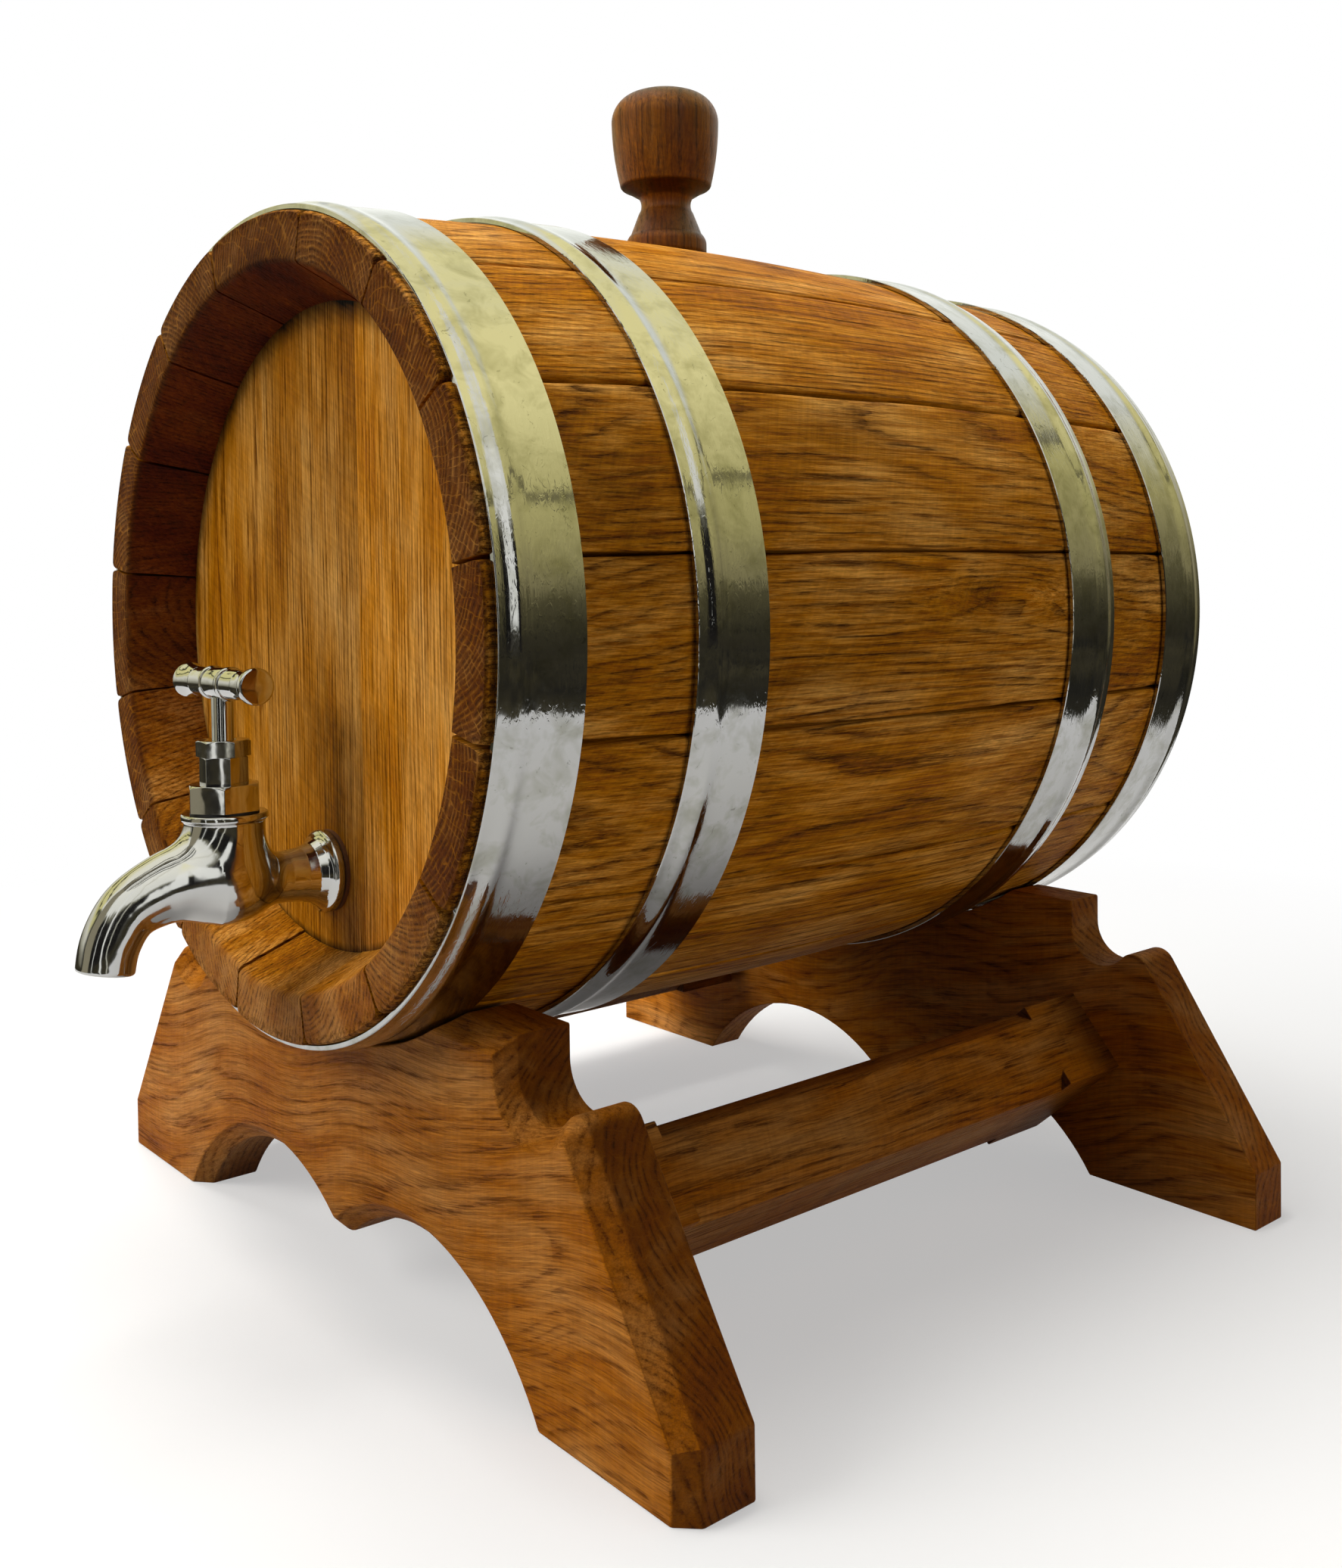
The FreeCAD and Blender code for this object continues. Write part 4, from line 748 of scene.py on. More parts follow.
def hill(first, second):
    """1 where two fields are 0, fading to 0 where either grows past 1."""
    return maths("EXPONENT", (first ** 2.0 + second ** 2.0) * -1.0)


def shades(*colours):
    return tuple(colour(*parts) for parts in colours)


def stave_oak(tree):
    """Finds each stave by its angle, cuts its wood from a tree of its own and tones it."""
    x, y, z = object_place(tree)
    y, z = y - CASK.y, z - CASK.z
    angle = maths("FLOORED_MODULO", maths("DEGREES", maths("ARCTAN2", x, z)), 360.0)
    bung_stave = maths("GREATER_THAN", abs(angle - 180.0), 180.0 - BUNG_STAVE_ANGLE / 2)
    others = 1.0 - bung_stave
    index = (maths("FLOOR", (angle - BUNG_STAVE_ANGLE / 2) / STAVE_STEP) + 1.0) * others
    centre = (BUNG_STAVE_ANGLE / 2 + (index - 0.5) * STAVE_STEP) * others
    off = maths("WRAP", angle - centre, 180.0, -180.0)
    radius = length(triple(x, 0.0, z))
    lots, more_lots = dice(index, 4.0), dice(index, 91.0)
    across = maths("RADIANS", off) * 105.0 + ramp(lots[0], 0.0, 1.0, -95.0, 95.0)
    depth = radius - 105.0 + ramp(lots[1], 0.0, 1.0, 35.0, 70.0)
    depth = depth + hill((y - KNOT[0]) / 26.0, (angle - KNOT[1]) / 3.4) * 5.0
    figure = read_figure(across, y + lots[2] * 900.0, depth, 1.55, 9.0)

    half = STAVE_STEP / 2 + bung_stave * ((BUNG_STAVE_ANGLE - STAVE_STEP) / 2)
    seam = ramp(half - abs(off), 0.05, 0.30, 0.45, 1.0)
    tone = ramp(more_lots[0], 0.0, 1.0, 0.86, 1.06) * seam
    # Painted shade, painted light and sheen, and the staves' own uneven tone, patch by patch.
    for place, bearing, long_half, wide_half, change in SHADE_SHEEN_AND_TONE_PATCHES:
        tone = tone + hill((y - place) / long_half, (angle - bearing) / wide_half) * change
    # Painted shade: the upper inside of the chime, a recess the light hardly reaches, is darkened here and
    # made redder in the tones below.
    chime = ramp(radius, 91.8, 90.8) * ramp(z, -55.0, 15.0)
    tone = tone * (1.0 - chime * 0.34)
    rim = ramp(radius, 99.0, 101.0) * ramp(abs(y), 126.0, 128.5)
    torn = noise(triple(angle * 1.5, y * 0.5, radius * 0.7), 4.0, 0.75)
    figure["Pores"] = most(figure["Pores"], rim * ramp(torn, 0.47, 0.56))
    figure["Hairs"] = most(figure["Hairs"], rim * ramp(torn, 0.42, 0.36))
    # The end-grain tone, last here, is paler towards the bottom of the cask: painted light.
    tones = (blend(chime, *shades((219, 156, 76), (156, 72, 20))),
             blend(chime, *shades((161, 98, 33), (118, 46, 8))),
             *shades((84, 41, 9), (34, 12, 1), (100, 54, 14)),
             blend(ramp(z, -52.0, -84.0), *shades((104, 60, 26), (168, 112, 60))))
    return oak_surface(figure, tones, tone, facing(tree, 1, 0.35, 0.75), clouds=0.34, figured=0.92, net=0.40)


STAVE_OAK = finish("stave_oak", stave_oak)


# %% Staves
def smooth_by_angle(piece, degrees=32.0):
    piece.data.shade_smooth()
    piece.data.set_sharp_from_angle(angle=math.radians(degrees))


def settle(piece, body, slot_name, *nodes):
    """The piece rides on a body and stands for its solids, which are hidden; slot_name is not used."""
    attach(piece, body)
    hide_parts(*nodes)


staves = make_by_nodes("staves", stave_maker(), STAVE_BLANK, {
    "Staves": STAVE_COUNT, "Bung stave angle": BUNG_STAVE_ANGLE, "Seam gap": 19.0, "Uneven": 0.45,
    "Seed": 7, "Middle": tuple(CASK * MM), "Oak": STAVE_OAK})
smooth_by_angle(staves)
settle(staves, "cask", "stave_oak", *[f"stave_{i:02d}" for i in range(1, STAVE_COUNT + 1)])

# %% [markdown]
# ## Turned and pressed pieces
# Hoops, bung, spindle, handle and hexagons are all made by moving an outline round an axis. Blender's
# Spin or Screw would do it; a short function that lays rings of points is easier to steer, because a
# ring's radius may also change with the angle, and that is all a hexagon is.


# %% Outlines
def eased(corners, size, steps=3):
    """An outline with each corner rounded off by about that size."""
    points = [corners[0]]
    for corner, before, after in zip(corners[1:], corners, corners[2:]):
        here = np.array(corner, float)
        ways = [np.array(other, float) - here for other in (before, after)]
        reach = min(size, *(0.45 * np.linalg.norm(way) for way in ways))
        first, second = (here + way / max(np.linalg.norm(way), 1e-9) * reach for way in ways)
        for n in range(steps + 1):
            t = n / steps
            points.append(tuple((1 - t) ** 2 * first + 2 * t * (1 - t) * here + t ** 2 * second))
    return points + [corners[-1]]


def bowed(start, end, radius, turn, steps=12):
    """Points of the short arc between two corners, without its last; turn is 1 anticlockwise."""
    first, last = np.array(start, float), np.array(end, float)
    chord = last - first
    span = np.linalg.norm(chord)
    side = np.array((-chord[1], chord[0])) / span
    centre = (first + last) / 2 + side * turn * math.sqrt(max(radius ** 2 - span ** 2 / 4, 0.0))
    begin = math.atan2(*(first - centre)[::-1])
    sweep = 2 * math.asin(min(1.0, span / 2 / radius)) * turn
    return [tuple(centre + radius * np.array((math.cos(begin + sweep * n / steps),
                                              math.sin(begin + sweep * n / steps))))
            for n in range(steps)]


# %% Turning
def turned(rows, axis, centre, sides=96, ring=False, sweep=(0.0, 360.0)):
    """Mesh data of an outline moved round an axis. A row is (place along the axis, radius), and the
    radius may be a function of the angle. ring joins the last row to the first."""
    whole = abs(sweep[1] - sweep[0]) >= 359.999
    count = sides if whole else sides + 1
    angles = np.radians(sweep[0] + (sweep[1] - sweep[0]) * np.arange(count) / sides)
    ahead, out, aside = np.roll(np.eye(3), -"xyz".index(axis), axis=0)
    points, starts, faces = [], [], []
    for along, radius in rows:
        pole = not callable(radius) and radius < 1e-6
        starts.append((len(points), pole))
        base = np.array(centre, float) + ahead * along
        reach = radius(angles) if callable(radius) else np.full(count, float(radius))
        points.extend([base] if pole else base + np.outer(reach * np.cos(angles), out)
                      + np.outer(reach * np.sin(angles), aside))
    pairs = list(zip(starts, starts[1:])) + ([(starts[-1], starts[0])] if ring else [])
    for (a, a_pole), (b, b_pole) in pairs:
        for i in range(count if whole else count - 1):
            j = (i + 1) % count
            corners = ([a] if a_pole else [a + i, a + j]) + ([b] if b_pole else [b + j, b + i])
            if len(corners) > 2:
                faces.append(corners)
    if not whole:
        faces.extend([start + i for start, _ in starts] for i in (0, count - 1))
    return np.array(points), faces


# %% Pieces from parts
def make_piece(name, parts, material, body, slot_name, nodes, smooth=32.0):
    """One mesh object from several closed parts, in mm, with its faces turned outwards."""
    points, faces = [], []
    for part_points, part_faces in parts:
        start = len(points)
        points.extend(part_points * MM)
        faces.extend([[start + i for i in face] for face in part_faces])
    mesh = new_mesh(name, points, faces, material)
    shape = bmesh.new()
    shape.from_mesh(mesh)
    bmesh.ops.remove_doubles(shape, verts=shape.verts, dist=1e-7)
    bmesh.ops.recalc_face_normals(shape, faces=shape.faces)
    shape.to_mesh(mesh)
    shape.free()
    piece = stand(name, mesh)
    smooth_by_angle(piece, smooth)
    settle(piece, body, slot_name, *nodes)
    print(name, len(mesh.polygons), "faces")


# %% [markdown]
# ## Hoops
# A hoop is a strip of bright galvanised steel with a bead rolled near its outer edge. The strip was
# drawn and hammered on, so it has faint lines round the cask, shallow dents and smudges. The strip is
# turned round the cask's axis, bowed like the staves under it, and a second short strip is the lap
# where its end is riveted over its start.


# %% Hoop steel
def hoop_steel(tree):
    x, y, z = object_place(tree)
    around = maths("ARCTAN2", x, z - CASK.z) * 108.0
    lines = noise(triple(around * 0.035, y, 0.0), 3.0, 0.65)
    worms = noise(triple(around * 0.28, y * 0.75, 7.0), 2.0, 0.55, 1.2)
    place = solid_place(tree)
    dents = noise(place, 1.0, 0.4, scale=55.0)
    specks = noise(place, 3.0, 0.6, scale=420.0)
    stains = noise(place, 3.0, 0.62, 0.4, scale=130.0)
    marks = ramp(noise(place, 4.0, 0.75, 1.5, scale=260.0), 0.63, 0.69)
    height = lines * 0.028 + dents * 0.20 + ramp(worms, 0.5, 0.7) * 0.012 + specks * 0.003
    shade = blend(ramp(stains, 0.46, 0.70), (0.475, 0.475, 0.467, 1.0), (0.345, 0.345, 0.305, 1.0))
    shade = blend(marks * 0.55, shade, (0.14, 0.14, 0.11, 1.0))
    rough = ramp(stains, 0.40, 0.75, 0.035, 0.12) + ramp(specks, 0.5, 0.8, 0.0, 0.08)
    return skin(shade, rough, height, metallic=1.0)


HOOP_STEEL = finish("hoop_steel", hoop_steel)

# %% Hoop outlines
HOOP_GAP, HOOP_THICKNESS = 0.05, 1.2
BEAD_PLACE, BEAD_WIDTH, BEAD_HEIGHT, BEAD_REACH = 6.4, 3.0, 0.78, 2.3
LAP_ANGLE, LAP_LENGTH, LAP_INSET = 172.0, 24.0, 0.4
EDGE_EASE, SKIN_INSET, LAP_SINK, STRIP_STEPS, LAP_STEPS = 0.18, 0.02, 0.1, 64, 8
# Outer edge from the middle of the cask, mm, width and side of each hoop.
HOOPS = {"front_chime_hoop": (128.2, 21.1, -1), "front_quarter_hoop": (78.1, 20.7, -1),
         "rear_chime_hoop": (128.2, 21.1, 1), "rear_quarter_hoop": (78.1, 20.7, 1)}


def hoop_outline(edge, width):
    """Section of the strip as (place, radius), from its inner edge to its outer edge and back."""
    inner, face = edge - width, HOOP_GAP + HOOP_THICKNESS - SKIN_INSET
    top = []
    for n in range(STRIP_STEPS + 1):
        place = inner + width * n / STRIP_STEPS
        bead = BEAD_HEIGHT * math.exp(-((place - (edge - BEAD_PLACE + 1.2)) / BEAD_REACH) ** 2)
        top.append((place, shell_radius(place) + face + bead))
    bottom = [(place, shell_radius(place) + HOOP_GAP) for place, _ in reversed(top[::4])]
    for spot in (0, -1):
        top[spot] = (top[spot][0], top[spot][1] - EDGE_EASE)
    top.insert(1, (inner + EDGE_EASE, shell_radius(inner) + face))
    top.insert(-1, (edge - EDGE_EASE, shell_radius(edge) + face))
    return top + bottom


def lap_ends(edge, width):
    return edge - width, edge - BEAD_PLACE - BEAD_WIDTH / 2 - LAP_INSET


def lap_outline(edge, width):
    start, end = lap_ends(edge, width)
    low, high = HOOP_GAP + HOOP_THICKNESS - LAP_SINK, HOOP_GAP + 2 * HOOP_THICKNESS
    places = [start + (end - start) * n / LAP_STEPS for n in range(LAP_STEPS + 1)]
    return ([(place, shell_radius(place) + high) for place in places]
            + [(place, shell_radius(place) + low) for place in reversed(places)])


# %% Hoops
half_lap = math.degrees(LAP_LENGTH / 2 / END_RADIUS)
for hoop_name, (edge, width, end) in HOOPS.items():
    strip, lap = ([(end * place, radius) for place, radius in outline(edge, width)]
                  for outline in (hoop_outline, lap_outline))
    parts = [turned(strip, "y", CASK, 240, ring=True),
             turned(lap, "y", CASK, 12, ring=True,
                    sweep=(90 - LAP_ANGLE - half_lap, 90 - LAP_ANGLE + half_lap))]
    make_piece(hoop_name + "_strip", parts, HOOP_STEEL, "cask", "hoop_steel", [hoop_name])

# %% [markdown]
# ## Rivets
# Two rivets hold each lap, and all eight are alike, so Geometry Nodes set one domed head on each
# place and tip it square to the strip there. The tree keeps its sizes as inputs, and its instances are
# made real at the end.

# %% Rivet places
RIVET_RADIUS, RIVET_HEAD_RADIUS, RIVET_HEAD_HEIGHT, RIVET_SPACING = 1.6, 3.2, 1.3, 10.0


def rivet_places():
    """A mesh of points on the laps; its way attribute says which way each rivet faces."""
    points, ways = [], []
    for edge, width, end in HOOPS.values():
        middle = sum(lap_ends(edge, width)) / 2
        foot = shell_radius(middle) + HOOP_GAP
        spread = RIVET_SPACING / 2 / (foot + 2 * HOOP_THICKNESS)
        lean = math.asin(middle / arc_radius(HALF_LENGTH, BILGE_RISE))
        for side in (-1, 1):
            angle = math.radians(90 - LAP_ANGLE) + side * spread
            out = Vector((math.sin(angle), 0, math.cos(angle)))
            points.append((CASK + out * foot + Vector((0, end * middle, 0))) * MM)
            ways.append(out * math.cos(lean) + Vector((0, end * math.sin(lean), 0)))
    mesh = bpy.data.meshes.new("rivet_places")
    mesh.from_pydata(points, [], [])
    store = mesh.attributes.new("way", "FLOAT_VECTOR", "POINT")
    store.data.foreach_set("vector", np.array(ways).ravel())
    return mesh


# %% Rivet tree
def rivet_maker():
    tree, (places, shank_radius, head_radius, head_height, grip, steel) = new_maker("rivet_maker", {
        "Places": "Geometry", "Shank": "Float", "Head": "Float", "Head height": "Float",
        "Grip": "Float", "Steel": "Material"})
    shank = put(tree, "GeometryNodeMeshCylinder", {"Vertices": 32, "Radius": shank_radius, "Depth": grip})
    shank = put(tree, "GeometryNodeTransform", {
        "Geometry": shank, "Translation": triple(0.0, 0.0, grip / 2.0)})
    ball = put(tree, "GeometryNodeMeshUVSphere", {"Segments": 32, "Rings": 24, "Radius": 1.0})
    x, y, z = split(put(tree, "GeometryNodeInputPosition"))
    shaped = triple(x * head_radius, y * head_radius, most(z, 0.0) * head_height + grip)
    head = put(tree, "GeometryNodeSetPosition", {"Geometry": ball, "Position": shaped})
    way = put(tree, "GeometryNodeInputNamedAttribute", {"Name": "way"}, data_type="FLOAT_VECTOR")
    tip = put(tree, "FunctionNodeAlignRotationToVector", {"Vector": way}, axis="Z")
    copies = put(tree, "GeometryNodeInstanceOnPoints", {
        "Points": places, "Instance": join(shank, head), "Rotation": tip})
    real = put(tree, "GeometryNodeRealizeInstances", {0: copies})
    put(tree, "NodeGroupOutput", {0: put(tree, "GeometryNodeSetMaterial", {
        "Geometry": real, "Material": steel})})
    return tree


# %% Rivets
rivets = make_by_nodes("rivets", rivet_maker(), rivet_places(), {
    "Shank": RIVET_RADIUS * MM, "Head": RIVET_HEAD_RADIUS * MM, "Head height": RIVET_HEAD_HEIGHT * MM,
    "Grip": (2 * HOOP_THICKNESS + 0.05) * MM, "Steel": HOOP_STEEL})
smooth_by_angle(rivets)
settle(rivets, "cask", "hoop_steel", "hoop_rivets")

# %% [markdown]
# ## Heads
# A head is three boards edge to edge with upright grain, planed and paler than the staves. The solids
# already have the right flat faces and fine joints, so they stay and only get their oak.

# %% Head oak
LEFT_JOINT, RIGHT_JOINT = -35.0, 18.0
STAIN = (1.5, 135.0)  # middle of the damp stain above the tap's flange, x and z in mm


def head_oak(tree):
    x, y, z = object_place(tree)
    board = maths("GREATER_THAN", x, LEFT_JOINT) + maths("GREATER_THAN", x, RIGHT_JOINT)
    lots = dice(board, 12.0)
    figure = read_figure(x + ramp(lots[0], 0.0, 1.0, 40.0, 110.0), z + lots[2] * 700.0,
                         y + ramp(lots[1], 0.0, 1.0, 10.0, 40.0), 1.3, 5.0)
    middle, right = (maths("COMPARE", board, number, 0.1) for number in (1.0, 2.0))
    blotch = noise(triple(x / 4.0, 0.0, z / 22.0), 3.0)
    stain = hill((x - STAIN[0]) / 9.0, (z - STAIN[1]) / 24.0) * ramp(blotch, 0.40, 0.60, 0.1, 0.8)
    # A dark joint at the croze round the head's rim, widening towards the top as a painted shadow of the
    # chime above it.
    up = z - CASK.z
    croze_joint_and_shadow = ramp(apart(x, up), ramp(up, 0.0, 80.0, 81.2, 76.5), 83.4, 0.0, 0.85)
    tone = (0.99 + (right * 0.25 - middle * 0.11)) * (1.0 - stain * 0.62) * (1.0 - croze_joint_and_shadow)
    tones = shades((216, 158, 82), (178, 120, 52), (128, 74, 19), (76, 38, 7), (164, 104, 36), (96, 56, 20))
    return oak_surface(figure, tones, tone, 0.0, relief=0.06, gloss=0.45, clouds=0.22, figured=1.1)


# %% Plain oak
SWAY_LENGTH = 74.0
PLAIN_LOOK = {"gloss": 0.52, "clouds": 0.16, "net": 0.15}


def plain_oak(tree, tones, tone, along_axis, shift, ring_width=2.4, wander=14.0, paler=(), tilt=0.0,
              sway=0.0, **look):
    """Oak for a piece whose grain runs along one axis of the object; shift says where in the tree.
    The grain can tilt off the axis and sway by some millimetres. The last list gives axes along
    which the tone is raised as painted light: from, to, by how much."""
    place = object_place(tree)
    side = {0: (1, 0, 2), 1: (0, 1, 2), 2: (0, 2, 1)}[along_axis]
    across, along, depth = spot = [place[axis] + offset for axis, offset in zip(side, shift)]
    wave = noise(triple(*(part * (1 / SWAY_LENGTH) for part in spot)), 0.0)
    depth = depth + (along * -math.tan(tilt) + (wave - 0.5) * sway)
    figure = read_figure(across, along, depth, ring_width, wander)
    for axis, start, stop, change in paler:
        tone = tone + ramp(place[axis], start, stop, 0.0, change)
    return oak_surface(figure, tones, tone, facing(tree, along_axis, 0.35, 0.8), **(PLAIN_LOOK | look))


# %% Heads
def dress(material, *nodes):
    """CAD solids that stay get a finish in all their slots."""
    for node in nodes:
        slots = frame["nodes"][node].data.materials
        slots.clear()
        slots.append(material)
    print(material.name, "on", *nodes)


dress(finish("head_oak", head_oak), *(f"{end}_head_{side}" for end in ("front", "rear")
                                      for side in ("left", "middle", "right")))

# %% [markdown]
# ## Bung
# The bung is turned from darker, waxed oak: a crowned knob on a narrow neck, a flared foot and a
# plug that tapers into the stave. Its outline is the solid's own, with the corners eased as a
# turner's sandpaper leaves them.

# %% Bung
KNOB_TONES = shades((146, 88, 24), (112, 62, 12), (72, 34, 4), (34, 13, 1), (66, 31, 5), (70, 34, 8))
BUNG_FOOT = Vector((0.0, CASK.y + BUNG_SETBACK, CASK.z + BILGE_RADIUS))
BUNG_OAK = finish("bung_oak", plain_oak, KNOB_TONES, 0.92, 2, (31.0, 400.0, 18.0), 1.9, 8.0,
                  relief=0.05, gloss=0.34, clouds=0.24, figured=0.8, sheen=0.30)


def bung_outline():
    """From the crown down the outside to the tip of the plug, as (radius, height)."""
    crown = bowed((0.0, 50.8), (11.3, 48.5), arc_radius(11.3, 2.3), -1, 10)
    shoulder = bowed((11.3, 48.5), (16.2, 40.0), 8.7, -1, 12)
    cheek = bowed((16.2, 40.0), (13.9, 22.3), 81.0, -1, 10)
    under = bowed((13.9, 22.3), (12.5, 20.9), 1.4, -1, 6)
    neck = [(12.5, 20.9)] + bowed((8.3, 18.4), (8.3, 13.4), 4.3, 1, 12)
    flare = [(8.3, 13.4)] + bowed((10.8, 7.0), (12.2, 4.2), 4.2, -1, 6)
    foot = eased([(12.2, 4.2), (12.2, 1.4), (11.5, 0.1), (9.7, 0.1)], 0.5)
    plug = [(8.7, -19.6), (7.3, -21.0), (0.0, -21.0)]
    return crown + shoulder + cheek + under + neck + flare + foot + plug


bung_rows = [(height, radius) for radius, height in bung_outline()]
make_piece("bung_turning", [turned(bung_rows, "z", BUNG_FOOT, 128)], BUNG_OAK, "bung", "bung_oak",
           ["bung"], 40.0)

# %% [markdown]
# ## Chrome
# Polished chrome has almost no colour or texture of its own. What makes it look real is that the
# casting under the plate is never quite true, so its mirror image swims a little, and that fine
# wiping marks catch the light. A weak, broad relief and a faint change of gloss do both.


# %% Chrome
def chrome_plate(tree):
    place = solid_place(tree)
    waves = noise(place, 1.5, 0.4, scale=170.0)
    grit = noise(place, 3.0, 0.6, scale=1500.0)
    rough = ramp(noise(place, 3.0, 0.6, scale=300.0), 0.4, 0.75, 0.06, 0.15)
    return skin((0.53, 0.53, 0.522, 1.0), rough, waves * 0.16 + grit * 0.002, metallic=1.0)


CHROME = finish("tap_chrome", chrome_plate)

# %% [markdown]
# ## Tap casting
# The tap's body is one casting: a valve barrel, a drooping spout, a tail with a bell-mouthed flange.
# Where these meet, the pattern maker leaves soft fillets that no bevel gives. So the body is made as a
# distance field: each form says how far a point is from its skin, a smooth minimum melts the forms
# together, and the mouth is carved by a smooth maximum. A net of small faces is laid on the zero level
# and every point is drawn onto it, and its normal is the field's own slope, so the mirror image is clean.


# %% Distance field helpers
def melt(first, second, width):
    """Smooth minimum of two distances, with a fillet of about that width."""
    share = np.clip(0.5 + 0.5 * (second - first) / width, 0.0, 1.0)
    return second * (1 - share) + first * share - width * share * (1 - share)


def carve(first, second, width):
    return -melt(-first, -second, width)


def rounded_drum(reach, along, radius, low, high, ease):
    """Distance to a drum with eased rims; reach is from its axis and along is down it."""
    across = reach - (radius - ease)
    down = np.abs(along - (low + high) / 2) - ((high - low) / 2 - ease)
    return np.hypot(np.maximum(across, 0), np.maximum(down, 0)) + np.minimum(
        np.maximum(across, down), 0) - ease


def field_on_grid(field, low, high, step, coarse=4):
    """The field's sign on a fine grid; only points near the skin are worked out one by one."""
    counts = [coarse * math.ceil((b - a) / step / coarse) for a, b in zip(low, high)]
    wide = [np.array(a) + step * coarse * (np.arange(n // coarse) + 0.5) for a, n in zip(low, counts)]
    middles = np.stack(np.meshgrid(*wide, indexing="ij"), axis=-1)
    rough = field(middles.reshape(-1, 3)).reshape(middles.shape[:3])
    for axis in range(3):
        rough = np.repeat(rough, coarse, axis=axis)
    fine = [a + step * (np.arange(n) + 0.5) for a, n in zip(low, counts)]
    near = np.argwhere(np.abs(rough) < 2.2 * step * coarse)
    spots = np.stack([fine[axis][near[:, axis]] for axis in range(3)], axis=1)
    rough[tuple(near.T)] = field(spots)
    return rough < 0


# %% Net on a field
def slope(field, points, reach=0.02):
    parts = [field(points + reach * way) - field(points - reach * way) for way in np.eye(3)]
    return np.stack(parts, axis=1) / (2 * reach)


def net_on_field(field, low, high, step):
    """A closed net of quads on the zero level of a field, drawn onto it, and its normals."""
    inside = field_on_grid(field, low, high, step)
    corners = sum(inside[i:inside.shape[0] - 1 + i, j:inside.shape[1] - 1 + j,
                         k:inside.shape[2] - 1 + k].astype(int)
                  for i in (0, 1) for j in (0, 1) for k in (0, 1))
    mixed = (corners > 0) & (corners < 8)
    number = np.full(mixed.shape, -1)
    number[mixed] = np.arange(mixed.sum())
    spots = (np.argwhere(mixed) + 1.0) * step + np.array(low)
    faces = []
    for axis in range(3):
        u, v = (axis + 1) % 3, (axis + 2) % 3
        change = -np.diff(inside.astype(int), axis=axis)
        for sign in (1, -1):
            at = np.argwhere(change == sign)
            corner = []
            for du, dv in ((-1, -1), (0, -1), (0, 0), (-1, 0)):
                cell = at.copy()
                cell[:, u] += du
                cell[:, v] += dv
                corner.append(number[tuple(cell.T)])
            faces.extend(np.stack(corner[::sign], axis=1).tolist())
    for _ in range(5):
        way = slope(field, spots)
        pull = field(spots) / np.maximum((way ** 2).sum(1), 0.05)
        spots = spots - np.clip(pull, -step / 2, step / 2)[:, None] * way
    way = slope(field, spots)
    return spots, faces, way / np.maximum(np.linalg.norm(way, axis=1), 1e-9)[:, None]


# %% Spout
TAP_STANDOFF, TAIL_RISE, COLLAR_TOP = 28.5, 20.4, 18.2
VALVE = Vector((0.0, CASK.y - HEAD_FACE - TAP_STANDOFF, CASK.z - LAND_RADIUS + TAIL_RISE))
# Middle of the spout from the valve's axis, forwards and up, and its radius there, mm.
SPOUT = ((0.0, 2.4, 9.5), (9.0, 2.4, 9.5), (17.0, 0.8, 8.3), (24.4, -3.0, 7.3), (28.9, -10.0, 6.95),
         (30.4, -16.6, 6.8))
SPOUT_WALL, MOUTH_SLOPE = 1.7, math.radians(80.0)


def spout_line(count=56):
    """Points down the middle of the spout and the radius at each, by a smooth curve through SPOUT."""
    knots = np.array(SPOUT)
    stops = np.concatenate([[0], np.cumsum(np.linalg.norm(np.diff(knots[:, :2], axis=0), axis=1))])
    at = np.linspace(0, stops[-1], count)
    slopes = np.gradient(knots, stops, axis=0)
    slopes[-1, :2] = (math.cos(MOUTH_SLOPE), -math.sin(MOUTH_SLOPE))
    cell = np.clip(np.searchsorted(stops, at, side="right") - 1, 0, len(stops) - 2)
    width = (stops[cell + 1] - stops[cell])[:, None]
    t = ((at - stops[cell])[:, None]) / width
    a, b, m, n = knots[cell], knots[cell + 1], slopes[cell], slopes[cell + 1]
    line = ((2 * t ** 3 - 3 * t ** 2 + 1) * a + (t ** 3 - 2 * t ** 2 + t) * width * m
            + (-2 * t ** 3 + 3 * t ** 2) * b + (t ** 3 - t ** 2) * width * n)
    return np.stack([np.zeros(count), -line[:, 0], line[:, 1]], axis=1), line[:, 2]


SPOUT_MIDDLE, SPOUT_RADIUS = spout_line()
print("spout points:", len(SPOUT_MIDDLE))

# %% Tap casting
FLANGE_BACK = TAP_STANDOFF - 1.0
# Radius of the tail as it nears the flange, mm.
BELL = ((0.0, 6.5), (15.5, 6.5), (19.5, 6.9), (22.0, 7.6), (23.8, 8.7), (25.0, 9.9), (25.5, 10.5),
        (60.0, 10.5))
# Drums of the casting: radius, low end, high end and easing of the rims, mm.
BARREL, COLLAR = (9.7, -8.0, 30.0, 6.5), (10.5, 16.4, COLLAR_TOP, 0.55)
FLANGE = (10.5, 25.0, FLANGE_BACK, 0.7)
TAIL_FILLET, SPOUT_FILLET, RIM_FILLET, TOP_FILLET, CUT = 5.0, 5.5, 0.8, 0.7, 0.3
TAP_LOW, TAP_HIGH, NET_STEP, SHANK_LENGTH = (-12.0, -39.5, -24.5), (12.0, 29.0, 20.0), 0.42, 24.0


def tube_distance(points, middle, radius):
    """Distance to a tube: the nearest of its round sections, smoothed between neighbours."""
    gaps = np.stack([np.linalg.norm(points - spot, axis=1) - reach
                     for spot, reach in zip(middle, radius)], axis=1)
    best = np.clip(gaps.argmin(axis=1), 1, len(middle) - 2)
    rows = np.arange(len(points))
    before, here, after = (gaps[rows, best + n] for n in (-1, 0, 1))
    bend = np.maximum(before - 2 * here + after, 1e-9)
    shift = np.clip(0.5 * (before - after) / bend, -1.0, 1.0)
    return here + 0.5 * (after - before) * shift + 0.5 * bend * shift ** 2


